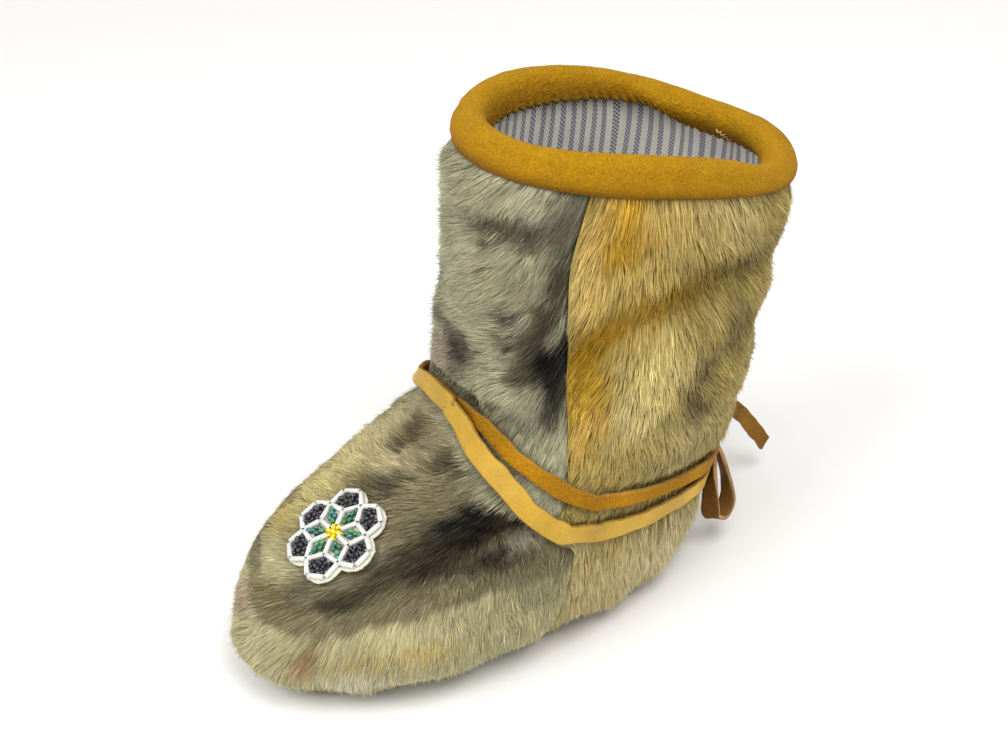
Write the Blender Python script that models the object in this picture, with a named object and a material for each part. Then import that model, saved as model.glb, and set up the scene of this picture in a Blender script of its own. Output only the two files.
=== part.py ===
"""A child's mukluk boot for the left foot, standing empty on its soft sole.

A fur foot and a fur shaft meet along a top line that climbs from the heel to the instep. A leather
binding is folded over the collar. A leather thong is wound twice round the ankle and tied in a bow
behind the heel, and a beaded flower sits on the vamp.

Metres, +Z up, toes towards -Y, the outer side of the foot towards +X, and the origin on the floor
under the middle of the sole.

A place on the fur is given by a row, which counts the sections from the sole (0) to the collar (12),
and an angle in degrees from the heel (0) over the outer side (90) to the toe (180).
"""

import math

import bpy
import numpy as np

# Driving sizes, measured over the fur
LENGTH = 0.193
WIDTH = 0.103
HEIGHT = 0.196

# Sections as shares of those sizes: y by the length, z by the height, half width by the width.
# Widest is how far from the back to the front the section is at its widest.
SECTIONS = np.array([
    # back y, back z, front y, front z, half width, widest
    (0.456, 0.000, -0.451, 0.000, 0.320, 0.60),  # sole edge
    (0.482, 0.061, -0.503, 0.064, 0.437, 0.60),  # turn of the rand
    (0.497, 0.133, -0.492, 0.153, 0.495, 0.60),  # ball
    (0.528, 0.204, -0.456, 0.224, 0.485, 0.60),  # top of the rand
    (0.554, 0.255, -0.389, 0.281, 0.481, 0.60),  # toe box
    (0.565, 0.306, -0.249, 0.342, 0.485, 0.60),  # vamp
    (0.570, 0.347, -0.083, 0.413, 0.490, 0.60),  # instep
    (0.580, 0.398, -0.036, 0.495, 0.500, 0.57),  # bend
    (0.596, 0.490, -0.026, 0.571, 0.500, 0.50),  # ankle
    (0.632, 0.617, 0.000, 0.684, 0.485, 0.50),  # low shaft
    (0.660, 0.745, 0.005, 0.806, 0.466, 0.50),  # middle of the shaft
    (0.658, 0.847, 0.031, 0.934, 0.447, 0.50),  # high shaft
    (0.622, 0.893, 0.057, 1.000, 0.466, 0.50),  # collar
])
COLLAR_ROW = len(SECTIONS) - 1
ROW_STEP = 0.02
ANGLE_STEP = 0.5
SIDE_ROUND = 2.2  # 2 is an ellipse, and more is squarer
TOE_ROUND = 2.05

# The collar slumps down and back at the outer side of its back, and a little at its back
SLUMPS = np.array([
    # angle, spread, down, back
    (50, 38, 0.0095, 0.0040),
    (341, 26, 0.0036, 0.0000),
])
SLUMP_FROM_ROW = 8
SLUMP_OVER_ROWS = 3.6

# The last's curve, waist and springs
TOE_BEND = 0.0035
TOE_BEND_FROM = 0.016
TOE_BEND_OVER = 0.090
TOE_BEND_FADES_FROM = 0.020
TOE_BEND_FADES_OVER = 0.090
TOE_SPRING = 0.0025
TOE_SPRING_FROM = -0.062
TOE_SPRING_OVER = 0.035
ARCH = 0.002
ARCH_Y = 0.022
ARCH_SPREAD = 0.024
ARCH_FROM = 0.006
ARCH_OVER = 0.020
WAIST = 0.003
SOLE_SHAPE_TALL = 0.030  # the waist and the springs fade out over this height

# Materials' thicknesses and gaps
WALL = 0.007  # 4.8 of fur, 1.0 of hide and 1.2 of lining
GAP = 0.0003
SOLE = 0.004
SOLE_INSET = 0.0062
INSOLE = 0.0035
SOLE_EDGE = 0.0015
INSOLE_PLAY = 0.0006
INSOLE_EDGE = 0.0003

# Rows where the foot's and the shaft's walls begin and end
RIM_ROW = 0.36
RAND_ROW = 0.95
FOOT_ROW = 1.5
SEAM_GAP_ROWS = 0.012
BELOW_BINDING_ROWS = 1.6
SHOULDER = 0.0012
TURNS_APART = 2.2  # least distance of the rings for the thong's two turns, in flat half widths

# Collar binding, a folded leather strip over the shaft's edge
BINDING_TALL = 0.0145
BINDING_THICK = 0.0098
BINDING_SKIN = 0.0024
BINDING_INSIDE_SHORTER = 0.0008
COLLAR_EDGE = 0.0042
COLLAR_PLAY = 0.0014

# The thong, and its two turns round the ankle
THONG_WIDE = 0.0068
THONG_THICK = 0.0017
THONG_OFF = 0.0015
LACE_ROWS = np.array([
    # angle, row of the lower turn, row of the upper turn
    (0, 2.46, 3.12),
    (20, 2.48, 3.16),
    (30, 2.60, 3.32),
    (40, 2.92, 3.70),
    (49, 3.20, 4.06),
    (56, 3.35, 4.32),
    (62, 3.52, 4.51),
    (69, 3.72, 4.71),
    (75, 3.92, 4.88),
    (80, 4.12, 5.04),
    (85, 4.36, 5.19),
    (90, 4.63, 5.34),
    (95, 4.81, 5.45),
    (100, 4.97, 5.54),
    (111, 5.28, 5.76),
    (127, 5.65, 6.06),
    (138, 5.86, 6.27),
    (146, 6.01, 6.46),
    (154, 6.17, 6.66),
    (162, 6.36, 6.77),
    (170, 6.54, 6.78),
    (180, 6.67, 6.74),
    (189, 6.72, 6.74),
    (198, 6.66, 6.68),
    (206, 6.50, 6.54),
    (214, 6.32, 6.38),
    (222, 6.14, 6.20),
    (230, 5.98, 6.06),
    (238, 5.82, 5.94),
    (246, 5.65, 5.83),
    (254, 5.42, 5.70),
    (262, 5.05, 5.54),
    (270, 4.63, 5.34),
])
INSTEP_TO = 270  # from here to the heel the inner side is like the outer side
EASING = (-6, -3, 0, 3, 6)  # the rows are averaged over these degrees
CROSSING = 183
CROSSING_HALF = 52
CROSSING_FALL = 24
KNOT_HALF_ANGLE = 5.4
KNOT_LIFT = 0.0016
KNOT_LIFT_OVER = 14

# Fur pressed down by the thong, deepest at the heel and the instep, and by the flower: flat under
# them, and rising again over the fall
PRESS_LACE = 0.0020
PRESS_HEEL = 0.0036
PRESS_HEEL_TO_ANGLE = 75
PRESS_INSTEP = 0.0044
PRESS_INSTEP_FROM = 140
PRESS_INSTEP_OVER = 40
PRESS_LACE_FLAT = 0.0053
PRESS_LACE_FALL = 0.0038
PRESS_FLOWER = 0.0022
PRESS_FLOWER_FLAT = 0.0175
PRESS_FLOWER_FALL = 0.0064

# Beaded flower on the vamp
FLOWER_ROW = 4.57
FLOWER_ANGLE = 172.7
FLOWER_RADIUS = 0.0182
FLOWER_SCALLOP = 0.045
FLOWER_PETALS = 6
FLOWER_THICK = 0.0032
FLOWER_OFF = 0.0013
FLOWER_ROUND_ACROSS = 0.160
FLOWER_ROUND_ALONG = 0.600
FLOWER_TILT = 0.030

# Knot, bow loops and ends of the thong: points on the middle line, and the way that its face looks
KNOT_CENTRE = (0.0, 0.1012, 0.0330)
KNOT_SIZE = (0.0120, 0.0094, 0.0092)
KNOT_SQUARE = 0.75  # 1 is an egg, and less is squarer
LOOP_OUTER = np.array([
    # x, y, z, face x, face y, face z
    (0.0064, 0.1040, 0.0322, 0.0, 1.0, 0.0),
    (0.0100, 0.1042, 0.0308, 0.1, 1.0, 0.1),
    (0.0140, 0.1034, 0.0281, 0.1, 1.0, 0.1),
    (0.0175, 0.1022, 0.0246, 0.0, 1.0, 0.1),
    (0.0205, 0.1010, 0.0208, -0.2, 0.9, 0.0),
    (0.0228, 0.0994, 0.0170, -0.3, 0.8, -0.2),
    (0.0245, 0.0968, 0.0142, -0.2, 0.4, -0.8),
    (0.0258, 0.0934, 0.0136, 0.2, -0.3, -0.9),
    (0.0264, 0.0892, 0.0158, 0.6, -0.6, -0.4),
    (0.0272, 0.0877, 0.0200, 0.7, -0.7, 0.0),
    (0.0270, 0.0880, 0.0246, 0.6, -0.8, 0.2),
    (0.0241, 0.0902, 0.0286, 0.2, -0.9, 0.3),
    (0.0204, 0.0936, 0.0312, -0.4, -0.9, 0.3),
    (0.0159, 0.0972, 0.0326, -0.5, -0.8, 0.2),
    (0.0110, 0.1003, 0.0332, -0.3, -1.0, 0.1),
    (0.0064, 0.1018, 0.0334, 0.0, -1.0, 0.0),
])
END_BACK = np.array([
    (-0.0006, 0.1065, 0.0352, 0.9, 0.1, 0.3),
    (-0.0010, 0.1098, 0.0384, 0.9, 0.1, 0.3),
    (-0.0016, 0.1133, 0.0402, 0.9, 0.1, 0.3),
    (-0.0022, 0.1171, 0.0404, 0.9, 0.1, 0.2),
    (-0.0026, 0.1208, 0.0384, 0.9, 0.2, 0.2),
    (-0.0029, 0.1245, 0.0344, 0.9, 0.2, 0.2),
    (-0.0031, 0.1281, 0.0296, 0.9, 0.2, 0.2),
    (-0.0032, 0.1315, 0.0245, 0.9, 0.2, 0.2),
    (-0.0032, 0.1348, 0.0194, 0.9, 0.2, 0.2),
    (-0.0032, 0.1384, 0.0134, 0.9, 0.2, 0.2),
])
END_INNER = np.array([
    (-0.0012, 0.1013, 0.0279, 0.0, 1.0, -0.2),
    (-0.0020, 0.1004, 0.0245, 0.0, 1.0, -0.3),
    (-0.0036, 0.0990, 0.0205, 0.0, 1.0, -0.3),
    (-0.0060, 0.0976, 0.0166, -0.1, 1.0, -0.3),
    (-0.0090, 0.0964, 0.0130, -0.1, 1.0, -0.2),
    (-0.0124, 0.0956, 0.0098, -0.2, 1.0, 0.0),
    (-0.0162, 0.0950, 0.0072, -0.2, 1.0, 0.0),
    (-0.0218, 0.0943, 0.0050, -0.2, 1.0, 0.0),
])

# How finely the solids are faceted
AROUND = 64
FOOT_RINGS = 9
LINING_RINGS = 7
FOLD_POINTS = 8
THONG_STEP = 0.0052


def smooth_step(value):
    value = np.clip(value, 0.0, 1.0)
    return value * value * (3.0 - 2.0 * value)


def section_at(row):
    """The section's six sizes at a row, on a smooth curve through the table, in metres."""
    sizes = SECTIONS * (LENGTH, HEIGHT, LENGTH, HEIGHT, WIDTH, 1.0)
    padded = np.vstack([2 * sizes[0] - sizes[1], sizes, 2 * sizes[-1] - sizes[-2]])
    row = np.asarray(row, float)
    first = np.clip(np.floor(row).astype(int), 0, COLLAR_ROW - 1)
    u = (row - first)[..., None]
    a, b, c, d = (padded[first + k] for k in range(4))
    curve = 2 * b + (c - a) * u + (2 * a - 5 * b + 4 * c - d) * u**2 + (3 * b - a - 3 * c + d) * u**3
    return np.moveaxis(curve / 2, -1, 0)


def ground(x, y):
    """How high the sole's underside stands off the floor: toe spring and the inner side's arch."""
    spring = TOE_SPRING * np.clip((TOE_SPRING_FROM - y) / TOE_SPRING_OVER, 0, 1.2) ** 2
    inner = smooth_step((-x - ARCH_FROM) / ARCH_OVER)
    return spring + ARCH * inner * np.exp(-(((y - ARCH_Y) / ARCH_SPREAD) ** 2))


def lasted(row, angle):
    """The middle of the fur's outer face, before anything presses on it."""
    back_y, back_z, front_y, front_z, half, widest = section_at(row)
    cos, sin = np.cos(np.radians(angle)), np.sin(np.radians(angle))
    mid_y = back_y + (front_y - back_y) * widest
    to_back = mid_y + (back_y - mid_y) * np.abs(cos) ** (2 / SIDE_ROUND)
    to_front = mid_y + (front_y - mid_y) * np.abs(cos) ** (2 / TOE_ROUND)
    y = np.where(cos > 0, to_back, to_front)
    x = half * np.sign(sin) * np.abs(sin) ** (2 / SIDE_ROUND)
    z = back_z + (front_z - back_z) * (back_y - y) / (back_y - front_y)
    bend = np.clip((TOE_BEND_FROM - y) / TOE_BEND_OVER, 0, 2) ** 2
    x = x - TOE_BEND * bend * np.clip(1 - (z - TOE_BEND_FADES_FROM) / TOE_BEND_FADES_OVER, 0, 1)
    low = np.clip(1 - z / SOLE_SHAPE_TALL, 0, 1)
    x = x + WAIST * low * (x < 0) * np.exp(-(((y - ARCH_Y) / ARCH_SPREAD) ** 2))
    z = z + ground(x, y) * low
    high = smooth_step((row - SLUMP_FROM_ROW) / SLUMP_OVER_ROWS)
    for corner, spread, down, back in SLUMPS:
        from_corner = (np.mod(np.asarray(angle) - corner + 180, 360) - 180) / spread
        slump = np.exp(-(from_corner**2)) * high
        y, z = y + back * slump, z - down * slump
    return np.stack(np.broadcast_arrays(x, y, z), axis=-1)


def unit(vectors):
    return vectors / np.linalg.norm(vectors, axis=-1, keepdims=True)


def along_rows(row, angle):
    """The way up the fur, as long as one row is tall there."""
    row = np.asarray(row)
    return (lasted(row + ROW_STEP, angle) - lasted(row - ROW_STEP, angle)) / (2 * ROW_STEP)


def upwards(row, angle):
    return unit(along_rows(row, angle))


def row_height(row, angle):
    return np.linalg.norm(along_rows(row, angle), axis=-1)


def outwards(row, angle):
    angle = np.asarray(angle)
    around = lasted(row, angle + ANGLE_STEP) - lasted(row, angle - ANGLE_STEP)
    return unit(np.cross(upwards(row, angle), around))


def lace_row(angle, column):
    """The row of the lower (1) or upper (2) turn of the thong."""
    rows = 0.0
    for step in EASING:
        turned = np.mod(np.asarray(angle) + step, 360)
        listed = np.where(turned > INSTEP_TO, 360 - turned, turned)
        rows = rows + np.interp(listed, LACE_ROWS[:, 0], LACE_ROWS[:, column])
    return rows / len(EASING)


def top_line(angle):
    """The row where foot and shaft are sewn together, under the thong's lower turn."""
    return lace_row(angle, 1)


def pressed(row, angle):
    """How deep the thong and the flower press the fur."""
    place = lasted(row, angle)
    from_heel = 180 - np.abs(180 - np.mod(np.asarray(angle), 360))
    at_heel = smooth_step(1 - from_heel / PRESS_HEEL_TO_ANGLE)
    at_instep = smooth_step((from_heel - PRESS_INSTEP_FROM) / PRESS_INSTEP_OVER)
    deepest = PRESS_LACE + (PRESS_HEEL - PRESS_LACE) * at_heel + (PRESS_INSTEP - PRESS_LACE) * at_instep
    depth = 0.0
    for column in (1, 2):
        away = np.abs(row - lace_row(angle, column)) * row_height(row, angle)
        share = smooth_step(1 - (away - PRESS_LACE_FLAT) / PRESS_LACE_FALL)
        depth = np.maximum(depth, deepest * share)
    away = np.linalg.norm(place - lasted(FLOWER_ROW, FLOWER_ANGLE), axis=-1)
    share = smooth_step(1 - (away - PRESS_FLOWER_FLAT) / PRESS_FLOWER_FALL)
    return np.maximum(depth, PRESS_FLOWER * share)


def fur_place(row, angle, off=0.0):
    """A point on the fur's outer face, or that far outside it."""
    row, angle = np.broadcast_arrays(np.asarray(row, float), np.asarray(angle, float))
    depth = off - pressed(row, angle)
    return lasted(row, angle) + outwards(row, angle) * depth[..., None]


def wall_place(row, angle):
    """A point on the lining, which keeps its shape where the fur is pressed."""
    row, angle = np.broadcast_arrays(np.asarray(row, float), np.asarray(angle, float))
    return lasted(row, angle) - outwards(row, angle) * WALL


def material(name, colour, roughness):
    finish = bpy.data.materials.new(name)
    finish.use_nodes = True
    shader = finish.node_tree.nodes["Principled BSDF"]
    shader.inputs["Base Color"].default_value = (*colour, 1)
    shader.inputs["Roughness"].default_value = roughness
    return finish


def add_object(name, points, faces, finish):
    mesh = bpy.data.meshes.new(name)
    mesh.from_pydata([tuple(point) for point in points], [], faces)
    mesh.materials.append(finish)
    mesh.validate()
    mesh.shade_smooth()
    mesh.set_sharp_from_angle(angle=math.radians(40))
    piece = bpy.data.objects.new(name, mesh)
    bpy.context.scene.collection.objects.link(piece)
    return piece


def add_loop_of_profiles(name, profiles, finish):
    """A closed tube round the boot: profiles[i][k] is point k of the closed profile at angle i."""
    count, size = profiles.shape[:2]
    faces = []
    for i in range(count):
        here, there = i * size, (i + 1) % count * size
        for k in range(size):
            after = (k + 1) % size
            faces.append((here + k, here + after, there + after, there + k))
    return add_object(name, profiles.reshape(-1, 3), faces, finish)


def add_strip(name, profiles, finish):
    """A strip with two capped ends: profiles[i][k] is corner k of its section at station i."""
    count, size = profiles.shape[:2]
    faces = []
    for i in range(count - 1):
        here, there = i * size, (i + 1) * size
        for k in range(size):
            after = (k + 1) % size
            faces.append((here + k, there + k, there + after, here + after))
    faces.append(tuple(range(size)))
    faces.append(tuple((count - 1) * size + k for k in range(size))[::-1])
    return add_object(name, profiles.reshape(-1, 3), faces, finish)


def angles_around():
    return np.arange(AROUND) * 360 / AROUND


def add_upper(finish):
    """The foot: vamp and rand in one hollow wall, open at the ankle and underneath."""
    angle = angles_around()
    top = top_line(angle) - SEAM_GAP_ROWS
    flat = PRESS_LACE_FLAT / row_height(top, angle)
    clear = top - flat - PRESS_LACE_FALL / row_height(top, angle)
    outer_rows = [np.full(AROUND, row) for row in (RIM_ROW, RAND_ROW)]
    outer_rows += [FOOT_ROW + (clear - FOOT_ROW) * share for share in np.linspace(0, 1, FOOT_RINGS)]
    outer_rows += [top - flat, top]
    inner_rows = [FOOT_ROW + (top - FOOT_ROW) * share for share in np.linspace(1, 0, LINING_RINGS)]
    inner_rows.append(np.full(AROUND, RAND_ROW))
    ring = [fur_place(row, angle) for row in outer_rows]
    ring += [wall_place(row, angle) for row in inner_rows]
    rim = ring[0]
    rim[:, 2] = ground(rim[:, 0], rim[:, 1]) + SOLE + GAP
    inner_rim = sole_outline(WALL)
    inner_rim[:, 2] = rim[:, 2]
    ring.append(inner_rim)
    return add_loop_of_profiles("upper", np.stack(ring, axis=1), finish)


def sole_outline(inset):
    """The upper's lower edge, drawn in towards the middle of the foot by the inset."""
    angle = angles_around()
    edge = lasted(RIM_ROW, angle)
    out = outwards(RIM_ROW, angle)
    out[:, 2] = 0
    return edge - unit(out) * inset


def add_shaft(finish):
    """The shaft: two fur panels in one hollow wall, thinned at the top where the binding grips it."""
    angle = angles_around()
    bottom = top_line(angle) + SEAM_GAP_ROWS
    flat = PRESS_LACE_FLAT / row_height(bottom, angle)
    second = np.maximum(lace_row(angle, 2), bottom + TURNS_APART * flat)
    clear = second + flat + PRESS_LACE_FALL / row_height(second, angle)
    high = COLLAR_ROW - BELOW_BINDING_ROWS
    rows = [bottom, bottom + flat, second - flat, second, second + flat]
    rows += [clear + (high - clear) * share for share in (0, 0.3, 0.65, 1.0)]
    ring = [fur_place(row, angle) for row in rows]
    edge, out, up = collar_frame(angle)
    grip_out = -(BINDING_THICK - COLLAR_EDGE) / 2
    grip_in = grip_out - COLLAR_EDGE
    below = -BINDING_TALL - GAP
    above = -BINDING_SKIN - COLLAR_PLAY
    for off, rise in ((0, below - SHOULDER), (grip_out, below), (grip_out, above), (grip_in, above)):
        ring.append(edge + out * off + up * rise)
    ring.append(edge + out * grip_in + up * below)
    ring += [wall_place(bottom + (high - bottom) * share, angle) for share in (1.0, 0.75, 0.5, 0.25, 0.0)]
    return add_loop_of_profiles("shaft", np.stack(ring, axis=1), finish)


def collar_frame(angle):
    """The collar's top line, with the directions out of the leg and up its wall."""
    row = COLLAR_ROW - 0.5
    return lasted(COLLAR_ROW, angle), outwards(row, angle), upwards(row, angle)


def add_binding(finish):
    """A leather strip folded over the collar's edge: a channel open downwards, round on top."""
    angle = angles_around()
    edge, out, up = collar_frame(angle)
    half = BINDING_THICK / 2
    slot = COLLAR_EDGE / 2 + GAP
    profile = [(0.0, -BINDING_TALL)]
    for turn in np.linspace(0, math.pi, FOLD_POINTS):
        profile.append((half * math.cos(turn) - half, half * math.sin(turn) - half))
    inside_end = -BINDING_TALL + BINDING_INSIDE_SHORTER
    profile.append((-2 * half, inside_end))
    profile.append((-half - slot, inside_end))
    profile.append((-half - slot, -BINDING_SKIN))
    profile.append((-half + slot, -BINDING_SKIN))
    profile.append((-half + slot, -BINDING_TALL))
    ring = [edge + out * off + up * rise for off, rise in profile]
    return add_loop_of_profiles("collar_binding", np.stack(ring, axis=1), finish)


def add_stack(name, rings, low_middle, high_middle, finish):
    """A closed body of rings that run anticlockwise seen from above, with a point to close each end."""
    count = len(rings[0])
    points = np.concatenate(rings + [np.array([low_middle, high_middle])])
    low_end, high_end = len(points) - 2, len(points) - 1
    last = (len(rings) - 1) * count
    faces = []
    for k in range(count):
        after = (k + 1) % count
        faces.append((low_end, after, k))
        faces.append((high_end, last + k, last + after))
        for low in range(0, last, count):
            faces.append((low + k, low + after, low + count + after, low + count + k))
    return add_object(name, points, faces, finish)


def add_slab(name, outline, bottom, top, edge_round, finish):
    """A flat piece of leather or felt: its outline, filled from bottom(x, y) to top(x, y)."""
    outline = outline[::-1]
    middle = outline.mean(axis=0)
    rings = []
    for share, side in ((0.45, -1), (0.90, -1), (1.0, 0), (0.90, 1), (0.45, 1)):
        flat = middle + (outline - middle) * share
        x, y = flat[:, 0], flat[:, 1]
        low, high = bottom(x, y), top(x, y)
        if side == 0:
            for rise in (low + edge_round, high):
                rings.append(np.stack([x, y, rise], axis=1))
        else:
            rings.append(np.stack([x, y, low if side < 0 else high], axis=1))
    ends = [(middle[0], middle[1], float(height(middle[0], middle[1]))) for height in (bottom, top)]
    return add_stack(name, rings, ends[0], ends[1], finish)


def add_sole(finish):
    outline = sole_outline(SOLE_INSET)
    return add_slab("sole", outline, ground, lambda x, y: ground(x, y) + SOLE, SOLE_EDGE, finish)


def add_insole(finish):
    outline = sole_outline(WALL + INSOLE_PLAY)

    def underside(x, y):
        return ground(x, y) + SOLE + GAP

    def upper_side(x, y):
        return underside(x, y) + INSOLE

    return add_slab("insole", outline, underside, upper_side, INSOLE_EDGE, finish)


def thong_sections(middle, out):
    """The four corners of the thong's section at each point of its middle line."""
    along = unit(np.gradient(middle, axis=0))
    across = unit(np.cross(along, out))
    face = unit(np.cross(across, along))
    corners = []
    for wide, thick in ((-1, -1), (1, -1), (1, 1), (-1, 1)):
        corners.append(middle + across * wide * THONG_WIDE / 2 + face * thick * THONG_THICK / 2)
    return np.stack(corners, axis=1)


def wrap_middle(turned):
    """The thong's middle line at an angle that runs on from the knot, twice round to the knot."""
    first = turned < 360
    outer_side = np.mod(turned, 360) < 180
    column_one = first == outer_side
    lower, upper = lace_row(turned, 1), lace_row(turned, 2)
    row = np.where(column_one, lower, upper)
    away = np.abs(turned - CROSSING) - CROSSING_HALF
    over = smooth_step(1 - away / CROSSING_FALL) * (THONG_THICK + 2 * GAP)
    from_end = np.minimum(turned, 720 - turned) - KNOT_HALF_ANGLE
    lift = KNOT_LIFT * smooth_step(1 - from_end / KNOT_LIFT_OVER)
    off = THONG_OFF + THONG_THICK / 2 + over + lift
    return fur_place(row, turned, off), outwards(row, turned)


def evenly(line, others, step):
    """Points a step apart along the line, and the other values there."""
    run = np.concatenate([[0], np.cumsum(np.linalg.norm(np.diff(line, axis=0), axis=1))])
    at = np.linspace(0, run[-1], round(run[-1] / step) + 1)
    values = np.concatenate([line, others], axis=1)
    spaced = np.stack([np.interp(at, run, column) for column in values.T], axis=1)
    return spaced[:, :3], spaced[:, 3:]


def add_lace_wraps(finish):
    """The thong from its knot, low on the outer side and over the instep, and round a second time."""
    turned = np.linspace(KNOT_HALF_ANGLE, 720 - KNOT_HALF_ANGLE, 700)
    middle, out = evenly(*wrap_middle(turned), THONG_STEP)
    return add_strip("lace_wraps", thong_sections(middle, out), finish)


def curve_through(points, spacing):
    """Points close together on a smooth curve through the given ones."""
    padded = np.vstack([2 * points[0] - points[1], points, 2 * points[-1] - points[-2]])
    line = []
    for k in range(len(points) - 1):
        a, b, c, d = padded[k : k + 4]
        for u in np.linspace(0, 1, 8, endpoint=False):
            curve = 2 * b + (c - a) * u + (2 * a - 5 * b + 4 * c - d) * u**2 + (3 * b - a - 3 * c + d) * u**3
            line.append(curve / 2)
    line = np.array(line + [points[-1]])
    return evenly(line[:, :3], line[:, 3:], spacing)


def add_free_thong(name, route, finish):
    """A loop or an end of the thong."""
    middle, out = curve_through(route, THONG_STEP / 2)
    return add_strip(name, thong_sections(middle, out), finish)


def add_knot(finish):
    """The tied knot: a lump squarer than a ball, a little flat against the heel."""
    middle, size = np.array(KNOT_CENTRE), np.array(KNOT_SIZE) / 2
    turn = np.linspace(0, 2 * math.pi, 12, endpoint=False)
    rings = []
    for lean in np.linspace(math.pi, 0, 8)[1:-1]:
        flat, rise = math.sin(lean), np.full(len(turn), math.cos(lean))
        way = np.stack([flat * np.cos(turn), flat * np.sin(turn), rise], axis=1)
        rings.append(middle + size * np.sign(way) * np.abs(way) ** KNOT_SQUARE)
    return add_stack("tie_knot", rings, middle - (0, 0, size[2]), middle + (0, 0, size[2]), finish)


def flower_frame():
    """The flower's centre on the vamp, with directions across the foot, towards the heel and out."""
    centre = fur_place(FLOWER_ROW, FLOWER_ANGLE, FLOWER_OFF)
    out = outwards(FLOWER_ROW, FLOWER_ANGLE)
    out = unit(out - (0.0, FLOWER_TILT, 0.0))
    heelwards = np.array([0.0, 1.0, 0.0])
    heelwards = unit(heelwards - out * (heelwards @ out))
    return centre, np.cross(heelwards, out), heelwards, out


def add_rosette(finish):
    """The beaded flower with its backing: a scalloped disc that follows the vamp."""
    centre, across, heelwards, out = flower_frame()
    count = 36
    turn = np.arange(count) * 2 * math.pi / count
    radius = FLOWER_RADIUS * (1 - FLOWER_SCALLOP + FLOWER_SCALLOP * np.cos(FLOWER_PETALS * turn))
    rings = []
    for share, rise in ((0.5, 0), (1.0, 0), (1.0, 0.6), (0.88, 1), (0.45, 1)):
        a, b = radius * share * np.cos(turn), radius * share * np.sin(turn)
        rings.append(flower_point(a, b, rise * FLOWER_THICK, centre, across, heelwards, out))
    return add_stack("bead_rosette", rings, centre, centre + out * FLOWER_THICK, finish)


def flower_point(a, b, rise, centre, across, heelwards, out):
    sag = a**2 / (2 * FLOWER_ROUND_ACROSS) + b**2 / (2 * FLOWER_ROUND_ALONG)
    return centre + a[:, None] * across + b[:, None] * heelwards + (rise - sag)[:, None] * out


def mirrored(route):
    return route * (-1, 1, 1, -1, 1, 1)


def main():
    for old in list(bpy.data.objects):
        bpy.data.objects.remove(old)
    fur = material("seal_fur", (0.42, 0.36, 0.22), 0.7)
    hide = material("smoked_moosehide", (0.62, 0.34, 0.07), 0.75)
    sole_hide = material("sole_moosehide", (0.45, 0.27, 0.10), 0.8)
    felt = material("wool_felt", (0.62, 0.58, 0.50), 0.95)
    beads = material("glass_beads", (0.55, 0.57, 0.52), 0.25)
    add_sole(sole_hide)
    add_insole(felt)
    add_upper(fur)
    add_shaft(fur)
    add_binding(hide)
    add_lace_wraps(hide)
    add_knot(hide)
    add_free_thong("bow_loop_outer", LOOP_OUTER, hide)
    add_free_thong("bow_loop_inner", mirrored(LOOP_OUTER), hide)
    add_free_thong("tie_end_back", END_BACK, hide)
    add_free_thong("tie_end_inner", END_INNER, hide)
    add_rosette(beads)


main()
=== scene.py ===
"""The looks of a child's fur mukluk boot for the left foot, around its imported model.

Metres, +Z up, toes towards -Y, the outer side of the foot towards +X. A place on the fur is given by a
row, which counts the sections from the sole (0) to the collar (12), and an angle in degrees from the
heel (0) over the outer side (90) to the toe (180) and back along the inner side.
"""

import math

import bpy
import numpy as np
from mathutils import Matrix, Vector
from mathutils.kdtree import KDTree


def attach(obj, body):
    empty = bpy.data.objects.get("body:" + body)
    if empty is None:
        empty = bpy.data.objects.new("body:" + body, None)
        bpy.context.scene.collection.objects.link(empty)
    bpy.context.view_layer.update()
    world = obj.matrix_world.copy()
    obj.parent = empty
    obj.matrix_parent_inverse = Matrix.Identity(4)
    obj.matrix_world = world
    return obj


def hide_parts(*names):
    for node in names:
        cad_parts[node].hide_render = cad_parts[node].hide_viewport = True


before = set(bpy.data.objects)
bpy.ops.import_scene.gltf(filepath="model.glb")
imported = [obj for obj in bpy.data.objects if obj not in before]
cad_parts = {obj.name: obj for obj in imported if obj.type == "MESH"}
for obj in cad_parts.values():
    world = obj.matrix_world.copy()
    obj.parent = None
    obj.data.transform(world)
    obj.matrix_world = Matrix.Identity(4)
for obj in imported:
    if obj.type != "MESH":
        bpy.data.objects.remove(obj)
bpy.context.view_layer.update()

# Driving sizes, measured over the fur
LENGTH = 0.193
WIDTH = 0.103
HEIGHT = 0.196

# Sections as shares of those sizes: y by the length, z by the height, half width by the width.
# Widest is how far from the back to the front the section is at its widest.
SECTIONS = np.array([
    # back y, back z, front y, front z, half width, widest
    (0.456, 0.000, -0.451, 0.000, 0.320, 0.60),  # sole edge
    (0.482, 0.061, -0.503, 0.064, 0.437, 0.60),  # turn of the rand
    (0.497, 0.133, -0.492, 0.153, 0.495, 0.60),  # ball
    (0.528, 0.204, -0.456, 0.224, 0.485, 0.60),  # top of the rand
    (0.554, 0.255, -0.389, 0.281, 0.481, 0.60),  # toe box
    (0.565, 0.306, -0.249, 0.342, 0.485, 0.60),  # vamp
    (0.570, 0.347, -0.083, 0.413, 0.490, 0.60),  # instep
    (0.580, 0.398, -0.036, 0.495, 0.500, 0.57),  # bend
    (0.596, 0.490, -0.026, 0.571, 0.500, 0.50),  # ankle
    (0.632, 0.617, 0.000, 0.684, 0.485, 0.50),  # low shaft
    (0.660, 0.745, 0.005, 0.806, 0.466, 0.50),  # middle of the shaft
    (0.658, 0.847, 0.031, 0.934, 0.447, 0.50),  # high shaft
    (0.622, 0.893, 0.057, 1.000, 0.466, 0.50),  # collar
])
COLLAR_ROW = len(SECTIONS) - 1
ROW_STEP = 0.02
ANGLE_STEP = 0.5
SIDE_ROUND = 2.2  # 2 is an ellipse, and more is squarer
TOE_ROUND = 2.05
SLUMPS = np.array([
    # angle, spread, down, back
    (50, 38, 0.0095, 0.0040),
    (341, 26, 0.0036, 0.0000),
])
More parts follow.
